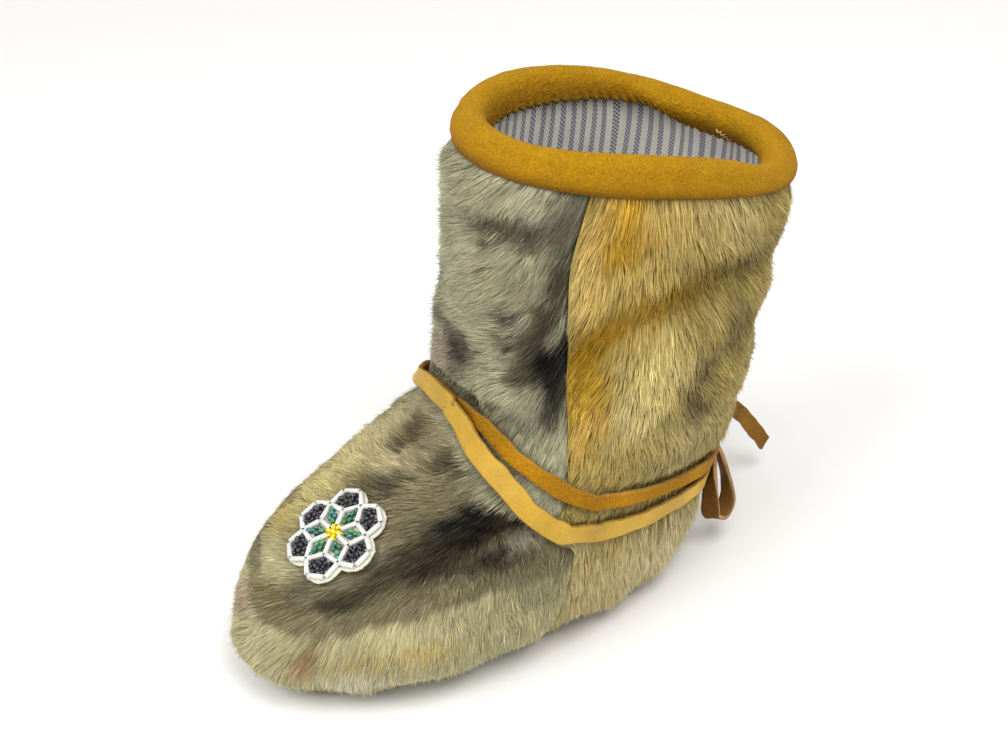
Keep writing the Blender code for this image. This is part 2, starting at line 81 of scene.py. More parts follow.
SLUMP_FROM_ROW = 8
SLUMP_OVER_ROWS = 3.6
TOE_BEND = 0.0035
TOE_BEND_FROM = 0.016
TOE_BEND_OVER = 0.090
TOE_BEND_FADES_FROM = 0.020
TOE_BEND_FADES_OVER = 0.090
TOE_SPRING = 0.0025
TOE_SPRING_FROM = -0.062
TOE_SPRING_OVER = 0.035
ARCH = 0.002
ARCH_Y = 0.022
ARCH_SPREAD = 0.024
ARCH_FROM = 0.006
ARCH_OVER = 0.020
WAIST = 0.003
SOLE_SHAPE_TALL = 0.030

# Thicknesses: the wall is fur, hide and lining
WALL = 0.007
FUR_DEEP = 0.0031
DEEPEST_SKIN = 0.0062
LINING = 0.0006
GAP = 0.0003
SOLE = 0.004
SOLE_INSET = 0.0062
INSOLE = 0.0035
INSOLE_PLAY = 0.0006
SPINE_BACK = (-0.062, 0.066)
SLAB_DENT = 0.00025
SLAB_DENTS = (230, 190)  # across and along, in radians a metre
SLAB_WORN = ((-0.05, 0.03, 0.10), (0.065, 0.02, 0.08))  # y, spread and how much darker
SLAB_EDGE = (
    # share of the way from the middle to the edge, share of the thickness
    (0, 0), (0.35, 0), (0.65, 0), (0.85, 0), (0.96, 0.04), (1.0, 0.35),
    (1.0, 0.70), (0.96, 0.97), (0.85, 1), (0.65, 1), (0.35, 1), (0, 1),
)
RIM_ROW = 0.36

# The thong's two turns round the ankle
THONG_WIDE = 0.0068
THONG_THICK = 0.0017
THONG_OFF = 0.0015
LACE_ROWS = np.array([
    # angle, row of the lower turn, row of the upper turn
    (0, 2.46, 3.12), (20, 2.48, 3.16), (30, 2.60, 3.32), (40, 2.92, 3.70), (49, 3.20, 4.06),
    (56, 3.35, 4.32), (62, 3.52, 4.51), (69, 3.72, 4.71), (75, 3.92, 4.88), (80, 4.12, 5.04),
    (85, 4.36, 5.19), (90, 4.63, 5.34), (95, 4.81, 5.45), (100, 4.97, 5.54), (111, 5.28, 5.76),
    (127, 5.65, 6.06), (138, 5.86, 6.27), (146, 6.01, 6.46), (154, 6.17, 6.66), (162, 6.36, 6.77),
    (170, 6.54, 6.78), (180, 6.67, 6.74), (189, 6.72, 6.74), (198, 6.66, 6.68), (206, 6.50, 6.54),
    (214, 6.32, 6.38), (222, 6.14, 6.20), (230, 5.98, 6.06), (238, 5.82, 5.94), (246, 5.65, 5.83),
    (254, 5.42, 5.70), (262, 5.05, 5.54), (270, 4.63, 5.34),
])
INSTEP_TO = 270  # from here to the heel the inner side is like the outer side
EASING = (-6, -3, 0, 3, 6)  # the rows are averaged over these degrees
CROSSING = 183
CROSSING_HALF = 52
CROSSING_FALL = 24
CROSSING_PLAY = 0.0011
KNOT_HALF_ANGLE = 5.4
KNOT_LIFT = 0.0016
KNOT_LIFT_OVER = 14
PRESS_LACE = 0.0020
PRESS_HEEL = 0.0036
PRESS_HEEL_TO_ANGLE = 75
PRESS_INSTEP = 0.0056
PRESS_INSTEP_FROM = 140
PRESS_INSTEP_OVER = 40
PRESS_LACE_FLAT = 0.0038
PRESS_LACE_FALL = 0.0048
PRESS_FLOWER = 0.0022
PRESS_FLOWER_FLAT = 0.0175
PRESS_FLOWER_FALL = 0.0064

# Collar binding
BINDING_TALL = 0.0145
BINDING_THICK = 0.0098
BAND_LOWER_AT_FRONT = 0.0022
BAND_FRONT_FROM = 60
BAND_FRONT_OVER = 90
BAND_INSIDE = 0.0135
BAND_INSIDE_MORE = 0.0030
BAND_MORE_TO = 60
BAND_MORE_OVER = 50
BAND_WAVE_OUT = 0.00030
BAND_WAVE_UP = 0.00022
BAND_WEAR = 0.05
STITCH_APART = 0.0040
STITCH_THICK = 0.00032
JOINT_ANGLE = 352
JOINT_STITCHES = 6
JOINT_STITCH_APART = 0.0020
JOINT_STITCH_THICK = 0.00028
BAND_LIFT = 0.0013
BAND_LIFT_AT = 255
BAND_LIFT_OVER = 45
ALL_ANGLES = np.arange(0, 361, 1.0)

# Lining
LINING_TOP = 11.25
LINING_FOOT = 0.75
LINING_OFF = 0.0005
LINING_GATHER = 0.00035
LINING_FOLDS = ((9, 1.0, 0.6), (17, 0.8, -0.9), (29, 0.5, 0.4))  # laps round, share, lean
GATHER_ROW = 10
GATHER_FROM = 8.6
GATHER_OVER = 2.4
GATHER_SIDEWAYS = 0.0006
STRIPE_PITCH = 0.0050
STRIPE_WIDE = 0.0023
DASH_PITCH = 0.0016
THREAD_PITCH = 0.0005
TICKING_CREAM = "f6f1e6"
TICKING_BLUE = "555c82"

# Beaded flower on the vamp
FLOWER_ROW = 4.57
FLOWER_ANGLE = 172.7
FLOWER_OFF = 0.0013
FLOWER_ROUND_ACROSS = 0.160
FLOWER_ROUND_ALONG = 0.600
FLOWER_TILT = 0.030
PETAL_AT = 7  # degrees round the flower from across the foot towards the heel
SPOKE_R = 0.0028
INNER_R = 0.0089
NOTCH_R = 0.0133
OUTER_R = 0.0180
BACKING_AT_NOTCH = 0.0150
BACKING_AT_PETAL = 0.0194
BACKING_THICK = 0.0012
BACKING_EDGE = (
    # share of the way to the cut edge, share of the thickness, from below round the edge to the top
    (0.30, 0.0), (0.97, 0.0), (1.0, 0.4), (0.985, 0.85), (0.94, 1.0), (0.5, 1.0), (0.0, 1.0),
)
BUGLE_LONG = 0.0061
BUGLE_WIDE = 0.0020
SEED_WIDE = 0.0021
SEED_SEAT = 0.42  # height of a seed bead's middle over the felt, in beads
YELLOW_SEAT = 0.48
MIDDLE_SEAT = 0.60
PLUMP = 1.16  # the green and yellow beads are a little larger than the dark ones
DIAMOND_BEADS = ((0.0053, 0), (0.0071, -0.0011), (0.0071, 0.0011), (0.0090, 0), (0.0109, 0))
PETAL_BEADS = (
    # distance, step to the side, lift in beads
    (0.0111, 0.0, 0), (0.0122, -0.0019, 0), (0.0124, 0.0019, 0), (0.0129, -0.0037, 0),
    (0.0130, 0.0037, 0), (0.0130, 0.0, 0.2), (0.0141, -0.0020, 0.2), (0.0142, 0.0019, 0.2),
    (0.0148, 0.0038, 0), (0.0147, -0.0038, 0), (0.0150, 0.0, 0.25), (0.0160, -0.0019, 0),
    (0.0161, 0.0019, 0),
)
GREENS = ("17593a", "22662f", "33783f", "156256", "1f6f6a", "458a55")
DARKS = ("17161f", "1c1b33", "241a2b", "3a2a22", "172c3a", "121216", "2b2f38")
YELLOWS = ("f4d400", "eec900", "f8de1a")

# The free thong: points on its middle line, and the way that its smooth face looks
KNOT_CENTRE = np.array((0.0, 0.1012, 0.0330))
LOOP_OUTER = np.array([
    # x, y, z, face x, face y, face z
    (0.0064, 0.1040, 0.0322, 0.0, 1.0, 0.0),
    (0.0100, 0.1042, 0.0308, 0.1, 1.0, 0.1),
    (0.0140, 0.1034, 0.0281, 0.1, 1.0, 0.1),
    (0.0175, 0.1022, 0.0246, 0.0, 1.0, 0.1),
    (0.0205, 0.1010, 0.0208, -0.2, 0.9, 0.0),
    (0.0228, 0.0994, 0.0170, -0.3, 0.8, -0.2),
    (0.0245, 0.0968, 0.0142, -0.2, 0.4, -0.8),
    (0.0258, 0.0934, 0.0136, 0.2, -0.3, -0.9),
    (0.0264, 0.0892, 0.0158, 0.6, -0.6, -0.4),
    (0.0272, 0.0877, 0.0200, 0.7, -0.7, 0.0),
    (0.0270, 0.0880, 0.0246, 0.6, -0.8, 0.2),
    (0.0241, 0.0902, 0.0286, 0.2, -0.9, 0.3),
    (0.0204, 0.0936, 0.0312, -0.4, -0.9, 0.3),
    (0.0159, 0.0972, 0.0326, -0.5, -0.8, 0.2),
    (0.0110, 0.1003, 0.0332, -0.3, -1.0, 0.1),
    (0.0064, 0.1018, 0.0334, 0.0, -1.0, 0.0),
])
END_BACK = np.array([
    (0.0004, 0.0985, 0.0322, 0.9, 0.1, 0.3),
    (0.0000, 0.1022, 0.0330, 0.9, 0.1, 0.3),
    (-0.0006, 0.1065, 0.0352, 0.9, 0.1, 0.3),
    (-0.0010, 0.1098, 0.0384, 0.9, 0.1, 0.3),
    (-0.0016, 0.1133, 0.0402, 0.9, 0.1, 0.3),
    (-0.0022, 0.1171, 0.0404, 0.9, 0.1, 0.2),
    (-0.0026, 0.1208, 0.0384, 0.9, 0.2, 0.2),
    (-0.0029, 0.1245, 0.0344, 0.9, 0.2, 0.2),
    (-0.0031, 0.1281, 0.0296, 0.9, 0.2, 0.2),
    (-0.0032, 0.1315, 0.0245, 0.9, 0.2, 0.2),
    (-0.0032, 0.1348, 0.0194, 0.9, 0.2, 0.2),
    (-0.0032, 0.1384, 0.0134, 0.9, 0.2, 0.2),
])
END_INNER = np.array([
    (0.0000, 0.1018, 0.0368, 0.0, 1.0, 0.0),
    (-0.0006, 0.1016, 0.0324, 0.0, 1.0, -0.1),
    (-0.0012, 0.1013, 0.0279, 0.0, 1.0, -0.2),
    (-0.0020, 0.1004, 0.0245, 0.0, 1.0, -0.3),
    (-0.0036, 0.0990, 0.0205, 0.0, 1.0, -0.3),
    (-0.0060, 0.0976, 0.0166, -0.1, 1.0, -0.3),
    (-0.0090, 0.0964, 0.0130, -0.1, 1.0, -0.2),
    (-0.0124, 0.0956, 0.0098, -0.2, 1.0, 0.0),
    (-0.0162, 0.0950, 0.0072, -0.2, 1.0, 0.0),
    (-0.0218, 0.0943, 0.0050, -0.2, 1.0, 0.0),
])
MIRROR = np.array((-1, 1, 1, -1, 1, 1))

# Where the panels are sewn together, on the outer side. The inner side is its mirror.
SIDE_SEAM = np.array([
    # row, angle
    (0.0, 79), (2.8, 79), (3.6, 81), (4.35, 90), (5.5, 105), (6.35, 121), (7.2, 126), (8.0, 130),
    (9.1, 133), (10.0, 131.5), (11.0, 126), (12.0, 123),
])
PUCKER_SEAM = np.array([
    # angle, row where the vamp is gathered into the rand
    (70, 3.2), (79, 3.4), (90, 3.72), (101, 3.85), (112, 3.65), (131, 3.40), (146, 3.00), (158, 2.88),
    (169, 2.80), (176, 2.92), (184, 3.15), (200, 3.35), (220, 3.50), (245, 3.65), (270, 3.72),
    (290, 3.2),
])

# Camera, where the photograph was taken from, with the same roll
CAMERA_PLACE = Vector((0.4353, -0.2224, 0.4242))
CAMERA_AIM = Vector((0.0, 0.0145, 0.0955))
CAMERA_UP = Vector((-0.495, 0.343, 0.798))
CAMERA_LENS = 58.8


# Shape of the boot

def smooth_step(value):
    value = np.clip(value, 0.0, 1.0)
    return value * value * (3.0 - 2.0 * value)


def bell(away, spread):
    return np.exp(-((away / spread) ** 2))


def unit(vectors):
    return vectors / np.linalg.norm(vectors, axis=-1, keepdims=True)


def turn_between(angle, other):
    """The shorter way round from one angle to the other."""
    return np.mod(np.asarray(angle) - other + 180, 360) - 180


def from_heel(angle):
    """The angle folded to 0 at the heel and 180 at the toe, the same on both sides."""
    return 180 - np.abs(180 - np.mod(angle, 360))


def to_toe(angle, start, over):
    """How far an angle is on its way from a start towards the toe, on both sides, as a share."""
    return smooth_step((from_heel(angle) - start) / over)


def smooth_curve(table, at):
    """Places on a smooth curve through a table's rows: 2.5 is half way from row 2 to row 3."""
    padded = np.vstack([2 * table[0] - table[1], table, 2 * table[-1] - table[-2]])
    at = np.asarray(at, float)
    first = np.clip(np.floor(at).astype(int), 0, len(table) - 2)
    u = (at - first)[..., None]
    a, b, c, d = (padded[first + k] for k in range(4))
    return (2 * b + (c - a) * u + (2 * a - 5 * b + 4 * c - d) * u**2 + (3 * b - a - 3 * c + d) * u**3) / 2


def run_along(line):
    """How far along a line each of its points is."""
    return np.concatenate([[0], np.cumsum(np.linalg.norm(np.diff(line, axis=0), axis=1))])


def section_at(row):
    """The section's six sizes at a row, in metres."""
    sizes = SECTIONS * (LENGTH, HEIGHT, LENGTH, HEIGHT, WIDTH, 1.0)
    return np.moveaxis(smooth_curve(sizes, row), -1, 0)


def ground(x, y):
    """How high the sole's underside stands off the floor: toe spring and the inner side's arch."""
    spring = TOE_SPRING * np.clip((TOE_SPRING_FROM - y) / TOE_SPRING_OVER, 0, 1.2) ** 2
    inner = smooth_step((-x - ARCH_FROM) / ARCH_OVER)
    return spring + ARCH * inner * bell(y - ARCH_Y, ARCH_SPREAD)


def lasted(row, angle):
    """The middle of the fur's outer face, before anything presses on it."""
    back_y, back_z, front_y, front_z, half, widest = section_at(row)
    cos, sin = np.cos(np.radians(angle)), np.sin(np.radians(angle))
    mid_y = back_y + (front_y - back_y) * widest
    to_back = mid_y + (back_y - mid_y) * np.abs(cos) ** (2 / SIDE_ROUND)
    to_front = mid_y + (front_y - mid_y) * np.abs(cos) ** (2 / TOE_ROUND)
    y = np.where(cos > 0, to_back, to_front)
    x = half * np.sign(sin) * np.abs(sin) ** (2 / SIDE_ROUND)
    z = back_z + (front_z - back_z) * (back_y - y) / (back_y - front_y)
    bend = np.clip((TOE_BEND_FROM - y) / TOE_BEND_OVER, 0, 2) ** 2
    x = x - TOE_BEND * bend * np.clip(1 - (z - TOE_BEND_FADES_FROM) / TOE_BEND_FADES_OVER, 0, 1)
    low = np.clip(1 - z / SOLE_SHAPE_TALL, 0, 1)
    x = x + WAIST * low * (x < 0) * bell(y - ARCH_Y, ARCH_SPREAD)
    z = z + ground(x, y) * low
    high = smooth_step((row - SLUMP_FROM_ROW) / SLUMP_OVER_ROWS)
    for corner, spread, down, back in SLUMPS:
        slump = bell(turn_between(angle, corner), spread) * high
        y, z = y + back * slump, z - down * slump
    return np.stack(np.broadcast_arrays(x, y, z), axis=-1)


def along_rows(row, angle):
    """The way up the fur, as long as one row is tall there."""
    row = np.asarray(row)
    return (lasted(row + ROW_STEP, angle) - lasted(row - ROW_STEP, angle)) / (2 * ROW_STEP)


def along_angles(row, angle):
    """The way round the fur, as long as one degree is wide there."""
    angle = np.asarray(angle)
    return (lasted(row, angle + ANGLE_STEP) - lasted(row, angle - ANGLE_STEP)) / (2 * ANGLE_STEP)


def row_height(row, angle):
    return np.linalg.norm(along_rows(row, angle), axis=-1)


def outwards(row, angle):
    return unit(np.cross(along_rows(row, angle), along_angles(row, angle)))


def lace_row(angle, column):
    """The row of the lower (1) or upper (2) turn of the thong."""
    rows = 0.0
    for step in EASING:
        turned = np.mod(np.asarray(angle) + step, 360)
        listed = np.where(turned > INSTEP_TO, 360 - turned, turned)
        rows = rows + np.interp(listed, LACE_ROWS[:, 0], LACE_ROWS[:, column])
    return rows / len(EASING)


def top_line(angle):
    """The row where foot and shaft are sewn together, under the thong's lower turn."""
    return lace_row(angle, 1)


def pressed(row, angle):
    """How deep the thong and the flower press the fur."""
    place = lasted(row, angle)
    at_heel = smooth_step(1 - from_heel(angle) / PRESS_HEEL_TO_ANGLE)
    at_instep = to_toe(angle, PRESS_INSTEP_FROM, PRESS_INSTEP_OVER)
    deepest = PRESS_LACE + (PRESS_HEEL - PRESS_LACE) * at_heel + (PRESS_INSTEP - PRESS_LACE) * at_instep
    depth = 0.0
    for column in (1, 2):
        away = np.abs(row - lace_row(angle, column)) * row_height(row, angle)
        share = smooth_step(1 - (away - PRESS_LACE_FLAT) / PRESS_LACE_FALL)
        depth = np.maximum(depth, deepest * share)
    away = np.linalg.norm(place - lasted(FLOWER_ROW, FLOWER_ANGLE), axis=-1)
    share = smooth_step(1 - (away - PRESS_FLOWER_FLAT) / PRESS_FLOWER_FALL)
    return np.maximum(depth, PRESS_FLOWER * share)


def fur_place(row, angle, off=0.0):
    """A point on the fur's outer face, or that far outside it."""
    row, angle = np.broadcast_arrays(np.asarray(row, float), np.asarray(angle, float))
    depth = off - pressed(row, angle)
    return lasted(row, angle) + outwards(row, angle) * depth[..., None]


def wall_place(row, angle, depth=WALL):
    """A point inside the wall, which keeps its shape where the fur is pressed."""
    row, angle, depth = np.broadcast_arrays(np.asarray(row, float), np.asarray(angle, float), depth)
    return lasted(row, angle) - outwards(row, angle) * depth[..., None]


def sole_outline(angle, inset):
    """The upper's lower edge, drawn in towards the middle of the foot by the inset."""
    out = outwards(RIM_ROW, angle)
    out[:, 2] = 0
    return lasted(np.full(len(angle), RIM_ROW), angle) - unit(out) * inset


# Creases of the hide: (depth, half width, places as row and angle). A trough is a
# positive depth and a ridge a negative one.
CREASES = [
    (0.0042, 0.0060, ((9.45, 58), (9.50, 76), (9.25, 92), (9.00, 108), (8.72, 122), (8.50, 131))),
    (-0.0018, 0.0075, ((8.75, 72), (8.55, 88), (8.30, 102), (8.05, 114))),
    (0.0032, 0.0045, ((8.50, 133), (8.44, 143), (8.62, 152))),
    (0.0026, 0.0042, ((8.20, 134), (7.80, 133))),
    (0.0046, 0.0044, ((10.30, 146), (10.24, 162), (10.18, 175), (10.05, 192))),
    (-0.0020, 0.0070, ((10.64, 150), (10.66, 170), (10.60, 190))),
    (0.0020, 0.0050, ((8.95, 157), (9.02, 167))),
    (0.0024, 0.0055, ((8.30, 178), (8.05, 188), (7.90, 200))),
    (-0.0016, 0.0160, ((10.40, 205), (9.40, 206), (8.40, 206))),
    (-0.0012, 0.0080, ((9.30, 150), (9.20, 175), (9.10, 200))),
    (0.0024, 0.0055, ((8.70, 62), (8.10, 76), (7.50, 78))),
    (0.0028, 0.0065, ((8.10, 10), (8.20, 28), (8.30, 48))),
    (-0.0012, 0.0080, ((7.60, 95), (7.30, 110))),
    (0.0014, 0.0060, ((7.20, 70), (6.60, 74))),
    (0.0018, 0.0050, ((5.40, 128), (4.90, 138), (4.30, 150))),
    (-0.0010, 0.0070, ((4.60, 120), (4.30, 130))),
    (-0.0012, 0.0120, ((1.10, 164), (1.10, 184))),
    (-0.0018, 0.0120, ((0.80, 42), (0.80, 62))),
    (-0.0011, 0.0200, ((FLOWER_ROW, FLOWER_ANGLE), (FLOWER_ROW, FLOWER_ANGLE))),
    (0.0028, 0.0060, ((9.10, 232), (9.30, 250), (9.00, 270), (8.80, 290))),
    (-0.0014, 0.0080, ((8.40, 240), (8.35, 262), (8.10, 285))),
    (0.0022, 0.0060, ((7.80, 300), (7.60, 325), (7.70, 350))),
    (0.0024, 0.0065, ((9.60, 330), (9.35, 355), (9.20, 20), (9.30, 44))),
    (-0.0014, 0.0080, ((8.60, 335), (8.40, 0), (8.50, 24))),
    (0.0018, 0.0060, ((6.50, 20), (6.30, 45))),
]
SEAM_DIP = 0.0014
SEAM_HALF = 0.0017
WAVES = 16
WAVE_DEEP = 0.00017
TUCK = 0.0032
TUCK_OVER = 0.0030
FLUFF_LEAST = 0.0007
FLUFF_MOST = 0.0020
FLUFF_MOST_FROM = 125
FLUFF_MOST_OVER = 45
FLUFF_BELOW = 0.0055
FLUFF_HALF = 0.0060
SHORTEST_FUR = 0.0013
SKIN_PRESSED = 0.40  # how much of a press and of a crease the skin under the fur follows
SKIN_CREASED = 0.45
GRID_ROW_STEP = 0.05
GRID_ROWS = np.arange(0, COLLAR_ROW + GRID_ROW_STEP / 2, GRID_ROW_STEP)
GRID_ANGLES = np.arange(0, 361, 1.0)


def points_along(places):
    """Points close together along a crease, on the fur."""
    places = np.array(places, float)
    places[:, 1] = np.degrees(np.unwrap(np.radians(places[:, 1])))
    share = np.linspace(0, len(places) - 1, 60)
    row = np.interp(share, range(len(places)), places[:, 0])
    angle = np.interp(share, range(len(places)), places[:, 1])
    return lasted(row, angle)


def creased(place):
    """How deep the creases and the hide's own waviness go at each of the places."""
    trough, ridge = np.zeros(place.shape[:-1]), np.zeros(place.shape[:-1])
    for deep, half, places in CREASES:
        away = np.full(trough.shape, np.inf)
        for point in points_along(places):
            away = np.minimum(away, ((place - point) ** 2).sum(axis=-1))
        share = np.exp(-away / half**2)
        trough, ridge = np.maximum(trough, deep * share), np.minimum(ridge, deep * share)
    depth = trough + ridge
    random = np.random.default_rng(31)
    for _ in range(WAVES):
        way = unit(random.normal(size=3)) * 2 * math.pi / random.uniform(0.014, 0.034)
        depth += WAVE_DEEP * np.sin(place @ way + random.uniform(0, 2 * math.pi))
    return depth


def side_seam_angle(row):
    return np.interp(row, SIDE_SEAM[:, 0], SIDE_SEAM[:, 1])


def pucker_row(angle):
    return np.interp(np.mod(angle, 360), PUCKER_SEAM[:, 0], PUCKER_SEAM[:, 1])


def seam_distance(row, angle):
    """How far a place is from the nearest of the side seams and the pucker seam."""
    degree = np.linalg.norm(along_angles(row, angle), axis=-1)
    side = np.abs(from_heel(angle) - side_seam_angle(row)) * degree
    pucker = np.abs(row - pucker_row(angle)) * row_height(row, angle)
    on_foot = from_heel(angle) > side_seam_angle(row) - 3
    return np.minimum(side, np.where(on_foot, pucker, 1.0))


def collar_frame(angle):
    """The collar's edge, with the ways outwards and upwards there."""
    row = COLLAR_ROW - 0.5
    return lasted(COLLAR_ROW, angle), outwards(row, angle), unit(along_rows(row, angle))


def band_tall(angle):
    """How far the binding reaches down the outside."""
    return BINDING_TALL - BAND_LOWER_AT_FRONT * to_toe(angle, BAND_FRONT_FROM, BAND_FRONT_OVER)


def band_hold(row, angle):
    """How deep the binding holds the fur down, and how far the fur puffs out below it (negative)."""
    down = np.linalg.norm(lasted(COLLAR_ROW, angle) - lasted(row, angle), axis=-1) - band_tall(angle)
    puff = FLUFF_LEAST + (FLUFF_MOST - FLUFF_LEAST) * to_toe(angle, FLUFF_MOST_FROM, FLUFF_MOST_OVER)
    tuck = TUCK * smooth_step((TUCK_OVER / 2 - down) / TUCK_OVER)
    return tuck - puff * bell(down - FLUFF_BELOW, FLUFF_HALF)


def fur_grids():
    """The fur's outer face, the skin under it and the sizes of a row and a degree, on a fine grid."""
    row, angle = np.meshgrid(GRID_ROWS, GRID_ANGLES, indexing="ij")
    place, out = lasted(row, angle), outwards(row, angle)
    press = pressed(row, angle)
    crease = creased(place) + band_hold(row, angle)
    seam = SEAM_DIP * bell(seam_distance(row, angle), SEAM_HALF)
    dip = press + crease + seam
    deep = np.maximum(FUR_DEEP + SKIN_PRESSED * press + SKIN_CREASED * crease, dip + SHORTEST_FUR)
    outer = place - out * dip[..., None]
    skin = place - out * np.clip(deep, 0, DEEPEST_SKIN)[..., None]
    for face in (outer, skin):
        face[..., 2] = np.maximum(face[..., 2], GAP)
    wide = np.linalg.norm(along_angles(row, angle), axis=-1)
    return {"outer": outer, "skin": skin, "size": np.stack([row_height(row, angle), wide], axis=-1)}


GRIDS = fur_grids()


def read_grid(name, row, angle):
    """A grid's values between its points."""
    grid = GRIDS[name]
    down = np.clip(np.asarray(row, float) / GRID_ROW_STEP, 0, len(GRID_ROWS) - 1.001)
    round_ = np.mod(np.asarray(angle, float), 360)
    i, j = down.astype(int), round_.astype(int)
    u, v = (down - i)[..., None], (round_ - j)[..., None]
    low = grid[i, j] * (1 - v) + grid[i, j + 1] * v
    high = grid[i + 1, j] * (1 - v) + grid[i + 1, j + 1] * v
    return low * (1 - u) + high * u


# Making pieces

def add_object(name, data):
    made = bpy.data.objects.new(name, data)
    bpy.context.scene.collection.objects.link(made)
    return made


def add_piece(name, points, faces, finishes, tints=None, face_finish=None, replaced=None):
    """A piece of the boot, with its materials, its points' tints and the solid that it stands for."""
    mesh = bpy.data.meshes.new(name)
    points = np.reshape(points, (-1, 3))
    mesh.from_pydata(points.tolist(), [], [list(map(int, face)) for face in faces])
    for finish in finishes:
        mesh.materials.append(finish)
    if face_finish is not None:
        mesh.polygons.foreach_set("material_index", np.asarray(face_finish, np.int32))
    if tints is not None:
        layer = mesh.attributes.new("Tint", "FLOAT_COLOR", "POINT")
        filled = np.ones((len(points), 4))
        filled[:, :3] = np.reshape(tints, (-1, 3))
        layer.data.foreach_set("color", filled.astype(np.float32).ravel())
    mesh.shade_smooth()
    piece = add_object(name, mesh)
    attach(piece, "root")
    if replaced:
        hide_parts(replaced)
    return piece


def ring_faces(count, size, closed=True, round_too=True):
    """Faces between count profiles of size points each, with the profiles and the round closed or open."""
    faces = []
    for i in range(count if round_too else count - 1):
        here, there = i * size, (i + 1) % count * size
        for k in range(size if closed else size - 1):
            after = (k + 1) % size
            faces.append((here + k, here + after, there + after, there + k))
    return faces


def joined(parts):
    """One set of points, faces and tints from many small parts, each its points, faces and tint."""
    points, faces, tints = [], [], []
    start = 0
    for part_points, part_faces, tint in parts:
        points.append(part_points)
        faces += [[corner + start for corner in face] for face in part_faces]
        tints.append(np.broadcast_to(tint, (len(part_points), 3)))
        start += len(part_points)
    return np.concatenate(points), faces, np.concatenate(tints)


def thread(line, radius, sides=6):
    """Points and faces of a thread along a line, closed at both ends."""
    along = unit(np.gradient(line, axis=0))
    side = unit(np.cross(along, (0.31, 0.17, 0.93)))
    over = np.cross(side, along)
    turn = np.arange(sides) * 2 * math.pi / sides
    spokes = side[:, None] * np.cos(turn)[:, None] + over[:, None] * np.sin(turn)[:, None]
    points = (line[:, None] + radius * spokes).reshape(-1, 3)
    faces = ring_faces(len(line), sides, round_too=False)
    last = (len(line) - 1) * sides
    faces += [list(range(sides))[::-1], [last + k for k in range(sides)]]
    return points, faces


def lay_map(piece, name, places):
    """A map on the piece: a flat place for each corner of each face."""
    layer = piece.data.uv_layers.new(name=name)
    layer.data.foreach_set("uv", np.asarray(places, np.float32).ravel())


def corners_of(piece):
    """The point that each corner of the piece's faces is on."""
    found = np.empty(len(piece.data.loops), np.int32)
    piece.data.loops.foreach_get("vertex_index", found)
    return found


# Colours and materials

def linear(hexes):
    """An sRGB colour such as "c08a2b" as linear red, green and blue."""
    value = np.array([int(hexes[k : k + 2], 16) / 255 for k in (0, 2, 4)])
    return np.where(value <= 0.04045, value / 12.92, ((value + 0.055) / 1.055) ** 2.4)


def rgba(hexes):
    return (*linear(hexes), 1.0)


def add_node(tree, kind, inputs=None, out=0, **settings):
    """Adds a node with its settings and links, and gives one of its outputs. An input takes a number, a
    colour or another node's output."""
    node = tree.nodes.new("ShaderNode" + kind)
    for setting, value in settings.items():
        setattr(node, setting, value)
    for name, value in (inputs or {}).items():
        if isinstance(value, bpy.types.NodeSocket):
            tree.links.new(value, node.inputs[name])
        else:
            node.inputs[name].default_value = value
    return node.outputs[out]


def start_material(name, **inputs):
    """A new material with its shader's plain values, and its node tree and shader."""
    finish = bpy.data.materials.new(name)
    finish.use_nodes = True
    tree = finish.node_tree
    shader = tree.nodes["Principled BSDF"]
    for socket, value in inputs.items():
        shader.inputs[socket.replace("_", " ")].default_value = value
    return finish, tree, shader


def add_relief(tree, shader, heights, deep, strength=1.0):
    """Gives the shader a relief, so deep, of heights that are added up."""
    height = heights[0]
    for other in heights[1:]:
        height = add_node(tree, "Math", {0: height, 1: other}, operation="ADD")
    normal = add_node(tree, "Bump", {"Height": height, "Distance": deep, "Strength": strength})
    tree.links.new(normal, shader.inputs["Normal"])


def tinted(name, clouds=(), lumps=(), pores=None, deep=0.0, strength=1.0, **inputs):
    """A material in the piece's own tint, lighter and darker in clouds of (size, share), with a relief of
    lumps of (size, detail) and of round pores. The sizes are in metres."""
    finish, tree, shader = start_material(name, **inputs)
    place = add_node(tree, "TexCoord", out="Object")
    tint = add_node(tree, "Attribute", attribute_name="Tint")
    for size, share in clouds:
        cloud = add_node(tree, "TexNoise", {"Vector": place, "Scale": 1 / size, "Detail": 3})
        spread = {"From Min": 0.3, "From Max": 0.7, "To Min": 1 - share, "To Max": 1 + share}
        level = add_node(tree, "MapRange", {"Value": cloud, **spread})
        tint = add_node(tree, "VectorMath", {"Vector": tint, "Scale": level}, operation="SCALE")
    tree.links.new(tint, shader.inputs["Base Color"])
    heights = []
    if pores:
        spots = {"Vector": place, "Scale": 1 / pores}
        heights.append(add_node(tree, "TexVoronoi", spots, feature="SMOOTH_F1"))
    for size, detail in lumps:
        heights.append(add_node(tree, "TexNoise", {"Vector": place, "Scale": 1 / size, "Detail": detail}))
    if heights:
        add_relief(tree, shader, heights, deep, strength)
    return finish


